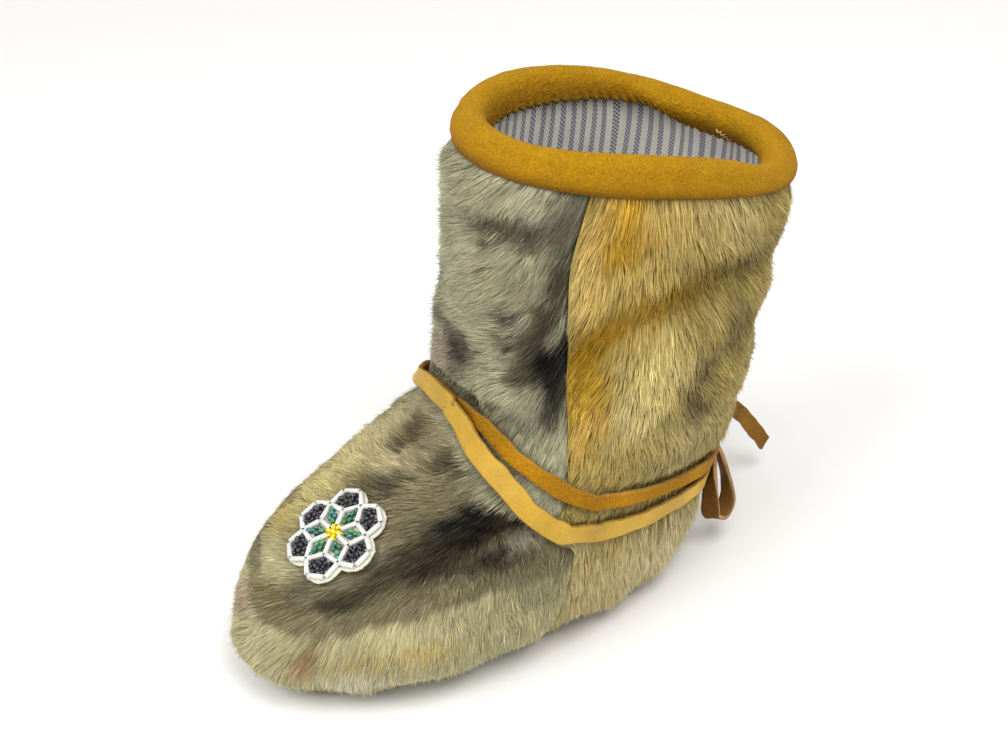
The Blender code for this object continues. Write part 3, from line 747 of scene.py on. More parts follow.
def cotton_ticking():
    """Cotton ticking, woven with blue-grey stripes: matt. Each stripe is three columns of short dashes,
    set half a dash apart, and the threads between are drawn at 0.5 mm so that they show."""
    finish, tree, shader = start_material("cotton_ticking", Roughness=0.92, IOR=1.5, Sheen_Weight=0.1)
    cloth = add_node(tree, "UVMap", uv_map="Cloth")
    across = add_node(tree, "SeparateXYZ", {"Vector": cloth}, "X")
    down = add_node(tree, "SeparateXYZ", {"Vector": cloth}, "Y")
    waves = []
    for value, pitch in ((across, STRIPE_PITCH), (across, STRIPE_WIDE * 2 / 3), (down, DASH_PITCH),
                         (across, THREAD_PITCH), (down, THREAD_PITCH)):
        turned = add_node(tree, "Math", {0: value, 1: 2 * math.pi / pitch}, operation="MULTIPLY")
        waves.append(add_node(tree, "Math", {0: turned}, operation="SINE"))
    stripes, columns, dashes, warp, weft = waves
    edge = math.sin(math.pi / 2 - math.pi * STRIPE_WIDE / STRIPE_PITCH)
    stripe = add_node(tree, "Math", {0: stripes, 1: edge}, operation="GREATER_THAN")
    checked = add_node(tree, "Math", {0: columns, 1: dashes}, operation="MULTIPLY")
    faint = {"From Min": -0.30, "From Max": 0.30, "To Min": 0.22, "To Max": 1.0}
    dash = add_node(tree, "MapRange", {"Value": checked, **faint})
    share = add_node(tree, "Math", {0: stripe, 1: dash}, operation="MULTIPLY")
    colours = {0: share, 6: rgba(TICKING_CREAM), 7: rgba(TICKING_BLUE)}
    colour = add_node(tree, "Mix", colours, 2, data_type="RGBA")
    cloud = add_node(tree, "TexNoise", {"Vector": cloth, "Scale": 1 / 0.012, "Detail": 3})
    spread = {"From Min": 0.3, "From Max": 0.7, "To Min": 0.90, "To Max": 1.04}
    soil = add_node(tree, "MapRange", {"Value": cloud, **spread})
    toned = add_node(tree, "VectorMath", {"Vector": colour, "Scale": soil}, operation="SCALE")
    tree.links.new(toned, shader.inputs["Base Color"])
    add_relief(tree, shader, [warp, weft], 0.00008)
    return finish


# Seal fur, dressed with its hair on: dense short hair with a natural gloss along each one
seal_fur = tinted("seal_fur", Roughness=0.42, IOR=1.5, Specular_IOR_Level=0.15)

# Tanned seal hide between the hairs: matt, and mottled by the roots that it shows between
seal_hide = tinted("seal_hide", [(0.0006, 0.22)], [(0.0006, 3)], deep=0.0003, Roughness=0.85, IOR=1.5)

# Smoked moosehide, smooth side out: soft, napless, with a low sheen where it bends. Pores 0.9 mm.
hide_smooth = tinted("smoked_hide_smooth", [(0.009, 0.10), (0.0010, 0.07)], [(0.0007, 3)], pores=0.0009,
                     deep=0.00022, strength=0.8, Roughness=0.52, IOR=1.48, Sheen_Weight=0.08,
                     Sheen_Roughness=0.45, Sheen_Tint=rgba("f0c870"), Specular_IOR_Level=0.30)

# Smoked moosehide, flesh side out: a brushed nap that scatters light. Its tufts, about 0.3 mm, are drawn
# at 0.8 mm so that they show.
hide_suede = tinted("smoked_hide_suede", [(0.007, 0.07), (0.0008, 0.22)], [(0.0009, 4), (0.0022, 3)],
                    deep=0.0009, Roughness=0.92, IOR=1.45, Sheen_Weight=0.16, Sheen_Roughness=0.5,
                    Sheen_Tint=rgba("f0b84a"), Specular_IOR_Level=0.15)

# The cut through the hide: fibrous and quite matt
hide_cut = tinted("cut_hide_edge", [(0.0024, 0.18), (0.0007, 0.20)], [(0.0008, 3)], deep=0.0005,
                  Roughness=0.95, IOR=1.45)

# Thick moosehide with its suede down: matt, trodden a little darker where the foot rests
sole_moosehide = tinted("sole_moosehide", [(0.014, 0.16), (0.0012, 0.14)], [(0.0012, 4)], deep=0.0007,
                        Roughness=0.93, IOR=1.45, Sheen_Weight=0.25)

# Pressed wool felt: matt and soft, with fibres about 1 mm long that make it faintly mottled
wool_felt = tinted("wool_felt", [(0.0040, 0.07), (0.0009, 0.13)], [(0.0009, 5)], deep=0.0006,
                   Roughness=0.96, IOR=1.5, Sheen_Weight=0.35, Sheen_Roughness=0.6)

# Waxed cotton sewing thread, two strands twisted: a faint speckle and little gloss
cotton_thread = tinted("cotton_thread", [(0.0006, 0.20)], [(0.0005, 3)], deep=0.0002,
                       Roughness=0.7, IOR=1.5, Sheen_Weight=0.2)

# White opal glass, drawn into a tube and cut into bugle beads: glossy, with a pearly bloom
opal_glass = tinted("opal_glass", [(0.004, 0.05)], Roughness=0.13, IOR=1.52, Coat_Weight=0.6,
                    Coat_Roughness=0.05)

# Coloured glass seed beads, tumbled smooth in fire: each has one sharp glint
lined_glass = tinted("lined_glass", [(0.0011, 0.30)], Roughness=0.08, IOR=1.52, Coat_Weight=1.0,
                     Coat_Roughness=0.03)

# Black glass seed beads with an iris coat, fumed on in the kiln: a dark metal-like gloss
iris_glass = tinted("iris_glass", [(0.0012, 0.45)], Roughness=0.14, Metallic=0.55, Coat_Weight=1.0,
                    Coat_Roughness=0.03)

THONG_FINISHES = [hide_smooth, hide_suede, hide_cut]


# Camera

def add_camera():
    back = (CAMERA_PLACE - CAMERA_AIM).normalized()
    right = CAMERA_UP.cross(back).normalized()
    up = back.cross(right)
    lens = bpy.data.cameras.new("photograph")
    lens.lens = CAMERA_LENS
    lens.clip_start = 0.01
    camera = add_object("photograph", lens)
    turn = Matrix((right, up, back)).transposed()
    camera.matrix_world = Matrix.Translation(CAMERA_PLACE) @ turn.to_4x4()
    bpy.context.scene.camera = camera


add_camera()


# The thong: its bow, its ends and its two turns

STATION = 0.0011
ROUTE_STEP = 1 / 16
EDGE_WANDER = 0.00028
THICK_WANDER = 0.08  # share of the thickness
WRINKLE = 0.10
WRINKLE_APART = 0.0021
WRINKLED_BEND = 60  # radians a metre from which a bend is fully wrinkled
RUBBED = 0.16
THONG_TINTS = ("bd9530", "a3710e", "9c7430")  # smooth side, suede side, cut edges
LOOP_TINTS = ("7a5524", "664318", "a5845c")
END_TINTS = ("94692a", "7d561f", "94703c")
WRAP_WIDTHS = (
    # degrees wound from the knot, share of the thong's width
    (0, 0.94), (45, 0.98), (75, 1.14), (150, 1.18), (170, 1.32), (195, 1.16), (215, 0.88), (250, 0.92),
    (360, 0.95), (410, 0.90), (540, 0.90), (720, 0.94),
)
KNOT_TURNS = (
    # name, solid it stands for, tilt, step to the side, radius, share of the thong's width
    ("tie_knot_band", "tie_knot", 0.16, 0.0, 0.0047, 1.0),
    ("tie_knot_under", None, -0.22, 0.0004, 0.0034, 1.35),
)
CUP = 0.00022


def evenly(line, others, step):
    """Points a step apart along the line, and the other values there."""
    run = run_along(line)
    at = np.linspace(0, run[-1], round(run[-1] / step) + 1)
    values = np.concatenate([line, others], axis=1)
    spaced = np.stack([np.interp(at, run, column) for column in values.T], axis=1)
    return spaced[:, :3], spaced[:, 3:]


def wander(count, step, random, finest=0.006, roughest=0.03):
    """A line that wanders smoothly between about -1 and 1, one value a station."""
    at = np.arange(count) * step
    value = np.zeros(count)
    for _ in range(5):
        value += np.sin(at * 2 * math.pi / random.uniform(finest, roughest) + random.uniform(0, 6.3))
    return value / 2.5


def strap_profile():
    """The thong's section as (across, thick, finish) with soft edges, from -1 to 1 each way."""
    wide = np.linspace(-0.90, 0.90, 7)
    profile = [(w, -1.0, 1) for w in wide]
    profile += [(0.985, -0.62, 2), (1.0, 0.0, 2), (0.985, 0.62, 2)]
    profile += [(w, 1.0, 0) for w in wide[::-1]]
    profile += [(-0.985, 0.62, 2), (-1.0, 0.0, 2), (-0.985, -0.62, 2)]
    return profile


STRAP_PROFILE = strap_profile()


def thong_strap(name, middle, out, seed, smooth_out=None, widths=1.0, tints=THONG_TINTS, replaced=None):
    """A length of thong along its middle line, with hand-cut edges and wrinkles where it bends. The
    tints are for its smooth side, its suede side and its cut edges."""
    random = np.random.default_rng(seed)
    along = unit(np.gradient(middle, axis=0))
    across = unit(np.cross(along, out))
    face = unit(np.cross(across, along))
    count = len(middle)
    left = 1 + EDGE_WANDER / (THONG_WIDE / 2) * wander(count, STATION, random)
    right = 1 + EDGE_WANDER / (THONG_WIDE / 2) * wander(count, STATION, random)
    thick = 1 + THICK_WANDER * wander(count, STATION, random)
    turning = np.linalg.norm(np.gradient(along, STATION, axis=0), axis=1)
    wrinkle = np.sin(np.arange(count) * STATION * 2 * math.pi / WRINKLE_APART)
    wrinkle = np.clip(turning / WRINKLED_BEND, 0, 1) * wrinkle
    rubbed = 1 + RUBBED * wander(count, STATION, random, 0.012, 0.06)
    swapped = np.zeros(count, bool) if smooth_out is None else ~smooth_out
    rings, colours = [], []
    for w, t, kind in STRAP_PROFILE:
        side = np.where(w < 0, left, right) * w * widths
        rise = t * thick + CUP / (THONG_THICK / 2) * (w * w - 0.4)
        if abs(t) == 1:
            rise = rise + WRINKLE * wrinkle * (1 - abs(w))
        sideways, outward = side * THONG_WIDE / 2, rise * THONG_THICK / 2
        rings.append(middle + across * sideways[:, None] + face * outward[:, None])
        kinds = np.full(count, kind)
        if kind < 2:
            kinds[swapped] = 1 - kind
        colours.append(np.array([linear(tint) for tint in tints])[kinds] * rubbed[:, None])
    points, colours = np.stack(rings, axis=1), np.clip(np.stack(colours, axis=1), 0, 0.9)
    size = len(STRAP_PROFILE)
    faces, finish = [], []
    for i in range(count - 1):
        here, there = i * size, (i + 1) * size
        for k in range(size):
            after = (k + 1) % size
            faces.append((here + k, there + k, there + after, here + after))
            kind = max(STRAP_PROFILE[k][2], STRAP_PROFILE[after][2])
            if STRAP_PROFILE[k][2] == STRAP_PROFILE[after][2] and kind < 2 and swapped[i]:
                kind = 1 - kind
            finish.append(kind)
    faces.append(tuple(range(size)))
    faces.append(tuple((count - 1) * size + k for k in range(size))[::-1])
    return add_piece(name, points, faces, THONG_FINISHES, colours, finish + [2, 2], replaced)


def free_thong(name, route, seed, smooth_out, tints, **facts):
    """A loop or an end of the bow: a length of thong along its route."""
    line = smooth_curve(route, np.arange(0, len(route) - 1 + ROUTE_STEP / 2, ROUTE_STEP))
    middle, out = evenly(line[:, :3], line[:, 3:], STATION)
    sides = np.full(len(middle), smooth_out)
    piece = thong_strap(name, middle, out, seed, sides, tints=tints, replaced=name)
    return piece


def tied_knot():
    """The bow's knot: the thong drawn round the loops' roots, and the turn under it."""
    pieces = []
    for name, replaced, tilt, shift, radius, wide in KNOT_TURNS:
        turn = np.linspace(0, 2 * math.pi, 49)
        y = KNOT_CENTRE[1] + radius * np.sign(np.cos(turn)) * np.abs(np.cos(turn)) ** 0.8
        z = KNOT_CENTRE[2] + radius * np.sign(np.sin(turn)) * np.abs(np.sin(turn)) ** 0.8
        x = KNOT_CENTRE[0] + shift + tilt * (z - KNOT_CENTRE[2])
        out = unit(np.stack([np.zeros(len(turn)), np.cos(turn), np.sin(turn)], axis=1))
        middle = np.stack([x, y, z], axis=1) - out * THONG_THICK / 2
        widths = wide * (1 - 0.10 * np.sin(np.linspace(0, 6 * math.pi, len(middle))) ** 2)
        pieces.append(thong_strap(name, middle, out, 70, None, widths, LOOP_TINTS, replaced))
    return pieces


knot = tied_knot()
free_thong("bow_loop_outer", LOOP_OUTER, 11, False, LOOP_TINTS, far_end="object", lay="hanging",
           with_pieces=knot)
free_thong("bow_loop_inner", LOOP_OUTER * MIRROR, 12, False, LOOP_TINTS, far_end="object", lay="hanging")
free_thong("tie_end_back", END_BACK, 13, False, END_TINTS, far_end="bare", lay="hanging")
free_thong("tie_end_inner", END_INNER, 14, True, END_TINTS, far_end="bare", lay="hanging")


def wrap_middle(turned):
    """The thong's middle line at an angle that runs on from the knot, twice round to the knot."""
    first = turned < 360
    outer_side = np.mod(turned, 360) < 180
    column_one = first == outer_side
    lower, upper = lace_row(turned, 1), lace_row(turned, 2)
    row = np.where(column_one, lower, upper)
    away = np.abs(turned - CROSSING) - CROSSING_HALF
    over = smooth_step(1 - away / CROSSING_FALL) * (THONG_THICK + CROSSING_PLAY)
    from_end = np.minimum(turned, 720 - turned) - KNOT_HALF_ANGLE
    lift = KNOT_LIFT * smooth_step(1 - from_end / KNOT_LIFT_OVER)
    off = THONG_OFF + THONG_THICK / 2 + over + lift
    return fur_place(row, turned, off), outwards(row, turned)


def ankle_thong():
    """The two turns round the ankle: the first shows its smooth side, the second its suede side."""
    turned = np.linspace(KNOT_HALF_ANGLE, 720 - KNOT_HALF_ANGLE, 2400)
    line, out = wrap_middle(turned)
    middle, rest = evenly(line, np.concatenate([out, turned[:, None]], axis=1), STATION)
    out, turned = unit(rest[:, :3]), rest[:, 3]
    widths = np.interp(turned, [each[0] for each in WRAP_WIDTHS], [each[1] for each in WRAP_WIDTHS])
    thong_strap("lace_wraps", middle, out, 21, turned < 360, widths, replaced="lace_wraps")


ankle_thong()


# The collar's binding: a strip of hide folded over the edge, padded by the fur inside it

def band_profile(angle):
    """The binding's section at each angle, as steps (out, up, tint) from the collar's edge, and how far
    down its inside reaches. It swells below its crest, and the stitches pucker its inner edge."""
    tall = band_tall(angle)
    lift = BAND_LIFT * bell(turn_between(angle, BAND_LIFT_AT), BAND_LIFT_OVER)
    half = BINDING_THICK / 2
    to_back = smooth_step((BAND_MORE_TO - from_heel(angle)) / BAND_MORE_OVER)
    deep = BAND_INSIDE + BAND_INSIDE_MORE * to_back
    stitch = np.cos(2 * math.pi * around_collar(angle) / STITCH_APART)
    # The tints run from the outer edge tucked into the fur, over the crest, to the inner edge. Beside the
    # hide's own orange-brown and its pinkish cut edge (6b432c), they hold painted shade: darker down both
    # faces towards their lower edges and over the whole inside band, darkest where the outer edge tucks
    # into the fur and where the inner edge meets the lining. The crest's slightly lighter tint is a painted
    # highlight.
    steps = [
        (-0.0030, 0.0014 - tall, "5a3a14"),
        (-0.0016, 0.0001 - tall, "6b432c"),
        (-0.0002, 0.0002 - tall, "7a5418"),
        (0.0006, 0.0016 - tall, "815b09"),
        (0.0012, -0.76 * tall, "966a08"),
        (0.0014, -0.62 * tall, "9f7208"),
        (0.0011, -0.48 * tall, "a2760a"),
    ]
    for turn in np.linspace(8, 172, 11):
        cos, sin = math.cos(math.radians(turn)), math.sin(math.radians(turn))
        tint = "a77b0d" if 30 < turn < 150 else "a4780b"
        steps.append((half * (1.06 * cos - 1), half * (1.06 * sin - 1), tint))
    steps += [
        (-2 * half - 0.0006, -0.42 * deep, "976b0a"),
        (-2 * half - 0.0010 - 0.0002 * stitch, -0.62 * deep, "8f6409"),
        (-2 * half - 0.0008 - 0.0004 * stitch, -0.80 * deep, "8c6208"),
        (-2 * half - 0.0003 - 0.0006 * stitch, 0.0010 - deep - 0.0003 * stitch, "9f7a24"),
        (-2 * half + 0.0006 - 0.0005 * stitch, -deep - 0.0005 * stitch, "815e22"),
        (-2 * half + 0.0020, 0.0004 - deep, "533a1a"),
    ]
    return [(off, rise + lift, tint) for off, rise, tint in steps], deep - lift


def around_collar(angle):
    """How far round the collar an angle is, in metres."""
    edge = lasted(COLLAR_ROW, ALL_ANGLES)
    return np.interp(np.mod(angle, 360), ALL_ANGLES, run_along(edge))


def collar_band():
    """The binding, with hand-sewn waviness along both edges and its tint worn a little lighter and darker
    along the waves. Its profile's tints hold painted shade, and a faint painted highlight on the crest.
    """
    angle = np.arange(0, 360, 0.75)
    edge, out, up = collar_frame(angle)
    steps, _ = band_profile(angle)
    random = np.random.default_rng(8)
    run = around_collar(angle)
    rings, tints = [], []
    for k, (off, rise, tint) in enumerate(steps):
        wave = np.zeros(len(angle))
        for _ in range(4):
            laps = random.integers(5, 34)
            wave += np.sin(run * 2 * math.pi * laps / run[-1] + random.uniform(0, 6.3)) / 4
        low = 1.0 if k < 3 or k > len(steps) - 4 else 0.6
        off = np.broadcast_to(off, angle.shape) + BAND_WAVE_OUT * wave * low
        rise = np.broadcast_to(rise, angle.shape) + BAND_WAVE_UP * wave * low
        rings.append(edge + out * off[:, None] + up * rise[:, None])
        tints.append(linear(tint) * (1 + BAND_WEAR * wave)[:, None])
    points, tints = np.stack(rings, axis=1), np.stack(tints, axis=1)
    faces = ring_faces(len(angle), len(steps), closed=False)
    add_piece("collar_band", points, faces, [hide_suede], tints, replaced="collar_binding")


def band_stitches():
    """Overcast stitches that hold the binding's inner edge to the lining, and a few at its joint."""
    edge_run = around_collar(ALL_ANGLES)
    count = int(edge_run[-1] / STITCH_APART)
    parts = []
    half = BINDING_THICK / 2
    for k in range(count):
        run = (k + 0.5) * STITCH_APART
        angles = np.interp([run - 0.0004, run, run + 0.0006, run + 0.0011], edge_run, ALL_ANGLES)
        edge, out, up = collar_frame(angles)
        _, deep = band_profile(angles)
        off = np.array([-2 * half - 0.0002, -2 * half - 0.0009, -2 * half - 0.0002, -2 * half + 0.0022])
        rise = np.array([0.0020, 0.0010, -0.0004, -0.0012]) - deep
        line = edge + out * off[:, None] + up * rise[:, None]
        points, faces = thread(line, STITCH_THICK, 5)
        parts.append((points, faces, linear("d9a43c")))
    for k in range(JOINT_STITCHES):
        angles = np.array([JOINT_ANGLE - 1.0, JOINT_ANGLE, JOINT_ANGLE + 1.2]) + 0.3 * (k % 2)
        edge, out, up = collar_frame(angles)
        rise = -0.0018 - JOINT_STITCH_APART * k + np.array([0.0004, 0.0, -0.0006])
        off = np.array([-2 * half - 0.0007, -2 * half - 0.0016, -2 * half - 0.0007])
        line = edge + out * off[:, None] + up * rise[:, None]
        points, faces = thread(line, JOINT_STITCH_THICK, 5)
        parts.append((points, faces, linear("d9b268" if k < JOINT_STITCHES - 1 else "e2d3b0")))
    points, faces, tints = joined(parts)
    add_piece("band_stitches", points, faces, [cotton_thread], tints)


# The lining: a tube of striped ticking, sewn in under the binding

def ticking_lining():
    """The lining inside shaft and foot, a little gathered below the binding."""
    angle = np.arange(0, 361, 1.5)
    rows = np.concatenate([np.arange(LINING_TOP, 9.0, -0.08), np.arange(9.0, LINING_FOOT, -0.2)])
    run = run_along(lasted(GATHER_ROW, angle))
    cloth_wide = round(run[-1] / STRIPE_PITCH) * STRIPE_PITCH
    across = run / run[-1] * cloth_wide
    points, cloth = [], []
    down = 0.0
    for k, row in enumerate(rows):
        if k:
            down += np.linalg.norm(lasted(rows[k - 1], 90.0) - lasted(row, 90.0))
        gather = smooth_step((row - GATHER_FROM) / GATHER_OVER)
        fold = 0.0
        for laps, share, lean in LINING_FOLDS:
            fold = fold + share * np.sin(across * 2 * math.pi * laps / cloth_wide + lean * row)
        deep = WALL + LINING_OFF + gather * LINING_GATHER * fold
        points.append(wall_place(row, angle, deep))
        sideways = across + GATHER_SIDEWAYS * gather * fold
        cloth.append(np.stack([sideways, np.full(len(angle), down)], axis=1))
    points, cloth = np.stack(points), np.stack(cloth)
    faces = ring_faces(len(rows), len(angle), closed=False, round_too=False)
    piece = add_piece("ticking_lining", points, faces, [cotton_ticking()])
    lay_map(piece, "Cloth", cloth.reshape(-1, 2)[corners_of(piece)])


collar_band()
band_stitches()
ticking_lining()


# Sole and insole

def soft_slab(name, replaced, inset, bottom, thick, finish, tint, seed):
    """A flat piece cut to the foot's outline, with rounded edges, a little uneven as hide and felt are."""
    angle = np.arange(0, 360, 3.0)
    outline = sole_outline(angle, inset)[:, :2]
    spine = np.stack([np.zeros(len(angle)), outline[:, 1].clip(SPINE_BACK[0], SPINE_BACK[1])], axis=1)
    random = np.random.default_rng(seed)
    rings, tints = [], []
    for share, level in SLAB_EDGE:
        x, y = (spine + (outline - spine) * share).T
        dent = SLAB_DENT * np.sin(x * SLAB_DENTS[0] + seed) * np.sin(y * SLAB_DENTS[1])
        z = ground(x, y) + bottom + thick * level - np.abs(dent) * (level > 0.5)
        rings.append(np.stack([x, y, z], axis=1))
        worn = 1.0
        for at, spread, darker in SLAB_WORN:
            worn = worn - darker * bell(y - at, spread)
        tints.append(linear(tint) * (worn * (1 + random.uniform(-0.03, 0.03, len(angle))))[:, None])
    points, tints = np.stack(rings, axis=1), np.stack(tints, axis=1)
    faces = ring_faces(len(angle), len(rings), closed=False)
    add_piece(name, points, faces, [finish], tints, replaced=replaced)


soft_slab("hide_sole", "sole", SOLE_INSET, 0.0, SOLE, sole_moosehide, "a5773c", 2)
soft_slab("felt_insole", "insole", WALL + INSOLE_PLAY, SOLE + GAP, INSOLE, wool_felt, "cfc6b4", 5)


# The beaded flower, a six-petalled star, on its scalloped felt

def flower_frame():
    """The flower's centre on the vamp, with directions across the foot, towards the heel and out."""
    centre = fur_place(FLOWER_ROW, FLOWER_ANGLE, FLOWER_OFF)
    out = outwards(FLOWER_ROW, FLOWER_ANGLE)
    out = unit(out - (0.0, FLOWER_TILT, 0.0))
    heelwards = np.array([0.0, 1.0, 0.0])
    heelwards = unit(heelwards - out * (heelwards @ out))
    return centre, np.cross(heelwards, out), heelwards, out


FLOWER_FRAME = flower_frame()


def on_flower(radius, degrees, rise):
    """A place on the flower, by its distance and its angle round the middle."""
    centre, across, heelwards, out = FLOWER_FRAME
    a, b = radius * np.cos(np.radians(degrees)), radius * np.sin(np.radians(degrees))
    sag = a**2 / (2 * FLOWER_ROUND_ACROSS) + b**2 / (2 * FLOWER_ROUND_ALONG)
    a, b, level = np.asarray(a)[..., None], np.asarray(b)[..., None], np.asarray(rise - sag)[..., None]
    return centre + a * across + b * heelwards + level * out


def flower_backing():
    """The felt under the beads, cut in a scallop round each petal, with a soft edge."""
    degrees = np.arange(0, 360, 2.5)
    petal = np.abs(np.cos(np.radians(3 * (degrees - PETAL_AT)))) ** 0.75
    random = np.random.default_rng(3)
    cut = BACKING_AT_NOTCH + (BACKING_AT_PETAL - BACKING_AT_NOTCH) * petal
    cut = cut + random.normal(0, 0.00012, len(degrees))
    rings = []
    for share, level in BACKING_EDGE:
        rings.append(on_flower(cut * share, degrees, level * BACKING_THICK))
    points = np.stack(rings, axis=1)
    faces = ring_faces(len(degrees), len(rings), closed=False)
    tints = np.broadcast_to(linear("e3dcc6"), points.shape)
    add_piece("flower_backing", points, faces, [wool_felt], tints, replaced="bead_rosette")


def turned_bead(middle, axis, profile, sides):
    """Points and faces of a bead round the axis of its hole, from its profile of (along, radius)."""
    axis = unit(axis)
    side = unit(np.cross(axis, FLOWER_FRAME[3] + 0.01))
    other = np.cross(axis, side)
    turn = (np.arange(sides) * 2 * math.pi / sides)[:, None]
    spoke = side * np.cos(turn) + other * np.sin(turn)
    points = np.stack([middle + axis * along + spoke * radius for along, radius in profile], axis=1)
    return points.reshape(-1, 3), ring_faces(sides, len(profile))


def bugle(start, end, random):
    """A bugle bead, 6 x 2 mm, cut square with its rims just melted round."""
    middle, axis = (start + end) / 2, end - start
    half = BUGLE_LONG / 2 * random.uniform(0.96, 1.03)
    radius = BUGLE_WIDE / 2
    profile = [(-half, 0.45 * radius), (-half, 0.84 * radius), (0.1 * radius - half, radius),
               (half - 0.1 * radius, radius), (half, 0.84 * radius), (half, 0.45 * radius)]
    points, faces = turned_bead(middle, axis, profile, 12)
    return points, faces, linear("dcddd8") * random.uniform(0.90, 1.0)


def seed_bead(middle, axis, tint, random, size=1.0):
    """A glass seed bead: a rounded ring, about two thirds as long as it is wide."""
    radius = size * SEED_WIDE / 2 * random.uniform(0.94, 1.04)
    half = 0.34 * size * SEED_WIDE
    profile = []
    for turn in np.radians(np.arange(0, 360, 45)):
        profile.append((half * math.sin(turn), radius * (0.70 + 0.30 * math.cos(turn))))
    points, faces = turned_bead(middle, axis, profile, 12)
    return points, faces, linear(tint)


def sewn_beads():
    """White bugles round six green diamonds and six dark petals, and a yellow middle."""
    random = np.random.default_rng(16)
    level = BACKING_THICK + BUGLE_WIDE / 2
    whites, colours, darks = [], [], []
    for k in range(6):
        at = PETAL_AT + 60 * k
        corners = [(INNER_R, at), (NOTCH_R, at + 30), (OUTER_R, at + 48), (OUTER_R, at + 72),
                   (NOTCH_R, at + 90), (INNER_R, at + 60), (NOTCH_R, at + 30)]
        places = [on_flower(radius, degrees, level) for radius, degrees in corners]
        whites.append(bugle(on_flower(SPOKE_R, at, level), on_flower(INNER_R, at, level), random))
        for first, second in ((0, 1), (1, 2), (2, 3), (3, 4), (5, 6)):
            whites.append(bugle(places[first], places[second], random))
        for radius, side in DIAMOND_BEADS:
            degrees = at + 30 + math.degrees(side / radius)
            high = BACKING_THICK + SEED_WIDE * SEED_SEAT
            middle = on_flower(radius, degrees + random.uniform(-1.5, 1.5), high)
            axis = on_flower(radius, degrees + 10, 0) - on_flower(radius, degrees, 0)
            colours.append(seed_bead(middle, axis, random.choice(GREENS), random, PLUMP))
        for radius, side, lift in PETAL_BEADS:
            degrees = at + math.degrees(side / radius) + random.uniform(-1.0, 1.0)
            middle = on_flower(radius, degrees, BACKING_THICK + SEED_WIDE * (SEED_SEAT + lift))
            leaning = on_flower(radius + 0.001, degrees + random.uniform(-9, 9), 0.0004)
            axis = leaning - on_flower(radius, degrees, 0)
            darks.append(seed_bead(middle, axis, random.choice(DARKS), random))
    for radius, degrees in [(0.0, 0.0)] + [(0.0023, 30 + 60 * k) for k in range(6)]:
        seat = MIDDLE_SEAT if radius == 0 else YELLOW_SEAT
        middle = on_flower(radius, degrees, BACKING_THICK + SEED_WIDE * seat)
        axis = on_flower(0.004, degrees + 70, 0.0006) - on_flower(0, 0, 0)
        colours.append(seed_bead(middle, axis, random.choice(YELLOWS), random, PLUMP))
    for name, parts, finish in (("bugle_beads", whites, opal_glass), ("colour_beads", colours, lined_glass),
                                ("petal_beads", darks, iris_glass)):
        points, faces, tints = joined(parts)
        add_piece(name, points, faces, [finish], tints)


flower_backing()
sewn_beads()


# The fur: how it is combed and where its colours lie

COMBED = np.array([
    # row, angle, degrees from straight down towards the toe
    # front of the shaft
    (10.8, 135, 38), (10.8, 150, 30), (10.7, 168, 52), (10.6, 190, 72), (9.6, 135, 28), (9.5, 152, 50),
    (9.3, 170, 56), (9.4, 192, 64), (8.9, 138, 30), (8.85, 150, 62), (8.75, 160, 98), (8.6, 178, 60),
    (8.6, 200, 62), (8.3, 150, 70), (7.9, 133, -12), (7.8, 143, 14), (7.7, 155, 36), (7.8, 172, 52),
    (7.5, 186, 52), (7.7, 205, 60), (7.0, 136, 0), (7.0, 150, 18), (7.0, 164, 40),
    # back of the shaft
    (10.3, 110, 3), (10.0, 127, 18), (9.3, 129, 28), (9.9, 95, -14), (9.9, 80, -28), (9.9, 65, -48),
    (9.6, 48, -62), (8.8, 118, 36), (9.0, 103, 10), (9.2, 84, -16), (8.2, 123, 24), (7.9, 119, -4),
    (8.4, 96, -16), (8.3, 82, -34), (7.9, 100, -12), (7.8, 76, -44), (7.4, 58, -50), (7.1, 72, -36),
    (6.8, 115, -22), (6.6, 95, -30), (6.2, 78, -30), (5.4, 70, -24), (6.0, 40, -28),
    # vamp
    (5.4, 123, -32), (4.9, 112, -45), (4.7, 124, -28), (4.9, 140, 6), (5.4, 152, 28), (4.3, 148, 22),
    (3.8, 147, 28), (3.5, 158, 42), (5.9, 168, 74), (5.9, 195, 78), (4.4, 205, 66), (3.6, 190, 54),
    (3.6, 178, 48), (5.2, 205, 72),
    # rand
    (3.0, 94, -18), (2.8, 110, -12), (2.8, 125, -4), (2.8, 140, 2), (2.6, 152, 22), (2.4, 165, 32),
    (2.2, 178, 36), (2.2, 192, 40), (1.4, 110, 0), (1.3, 130, 2), (1.4, 150, 12), (1.4, 165, 26),
    # heel
    (2.4, 70, -8), (1.6, 50, -6), (2.0, 20, -4),
    # inner side
    (3.0, 225, 10), (1.6, 225, 6), (4.4, 232, 20), (10.0, 225, 15), (8.0, 228, 20),
])
MIRRORED_UNDER = 150  # degrees: what is combed behind here is combed so on the inner side too
COMB_REACH = 6.0
COMB_FALL = 1.8
DEGREE_MM = 0.8
ROW_MM = 20.0

# Natural colours of the fur
PALE = "ded6b4"
OLIVE = "8f8a66"
STONE = "a9a487"
BONE = "d8d1b8"
GOLD = "bd9008"
STRAW = "cfb268"
HONEY = "b08400"
MUSTARD = "9c7500"
MOSS = "7c6424"
TAN = "9b8352"
BROWN = "6d5940"
ROSE_BROWN = "9c8472"
UMBER = "4b4030"
SOOT = "2b251b"
BLACK = "040302"

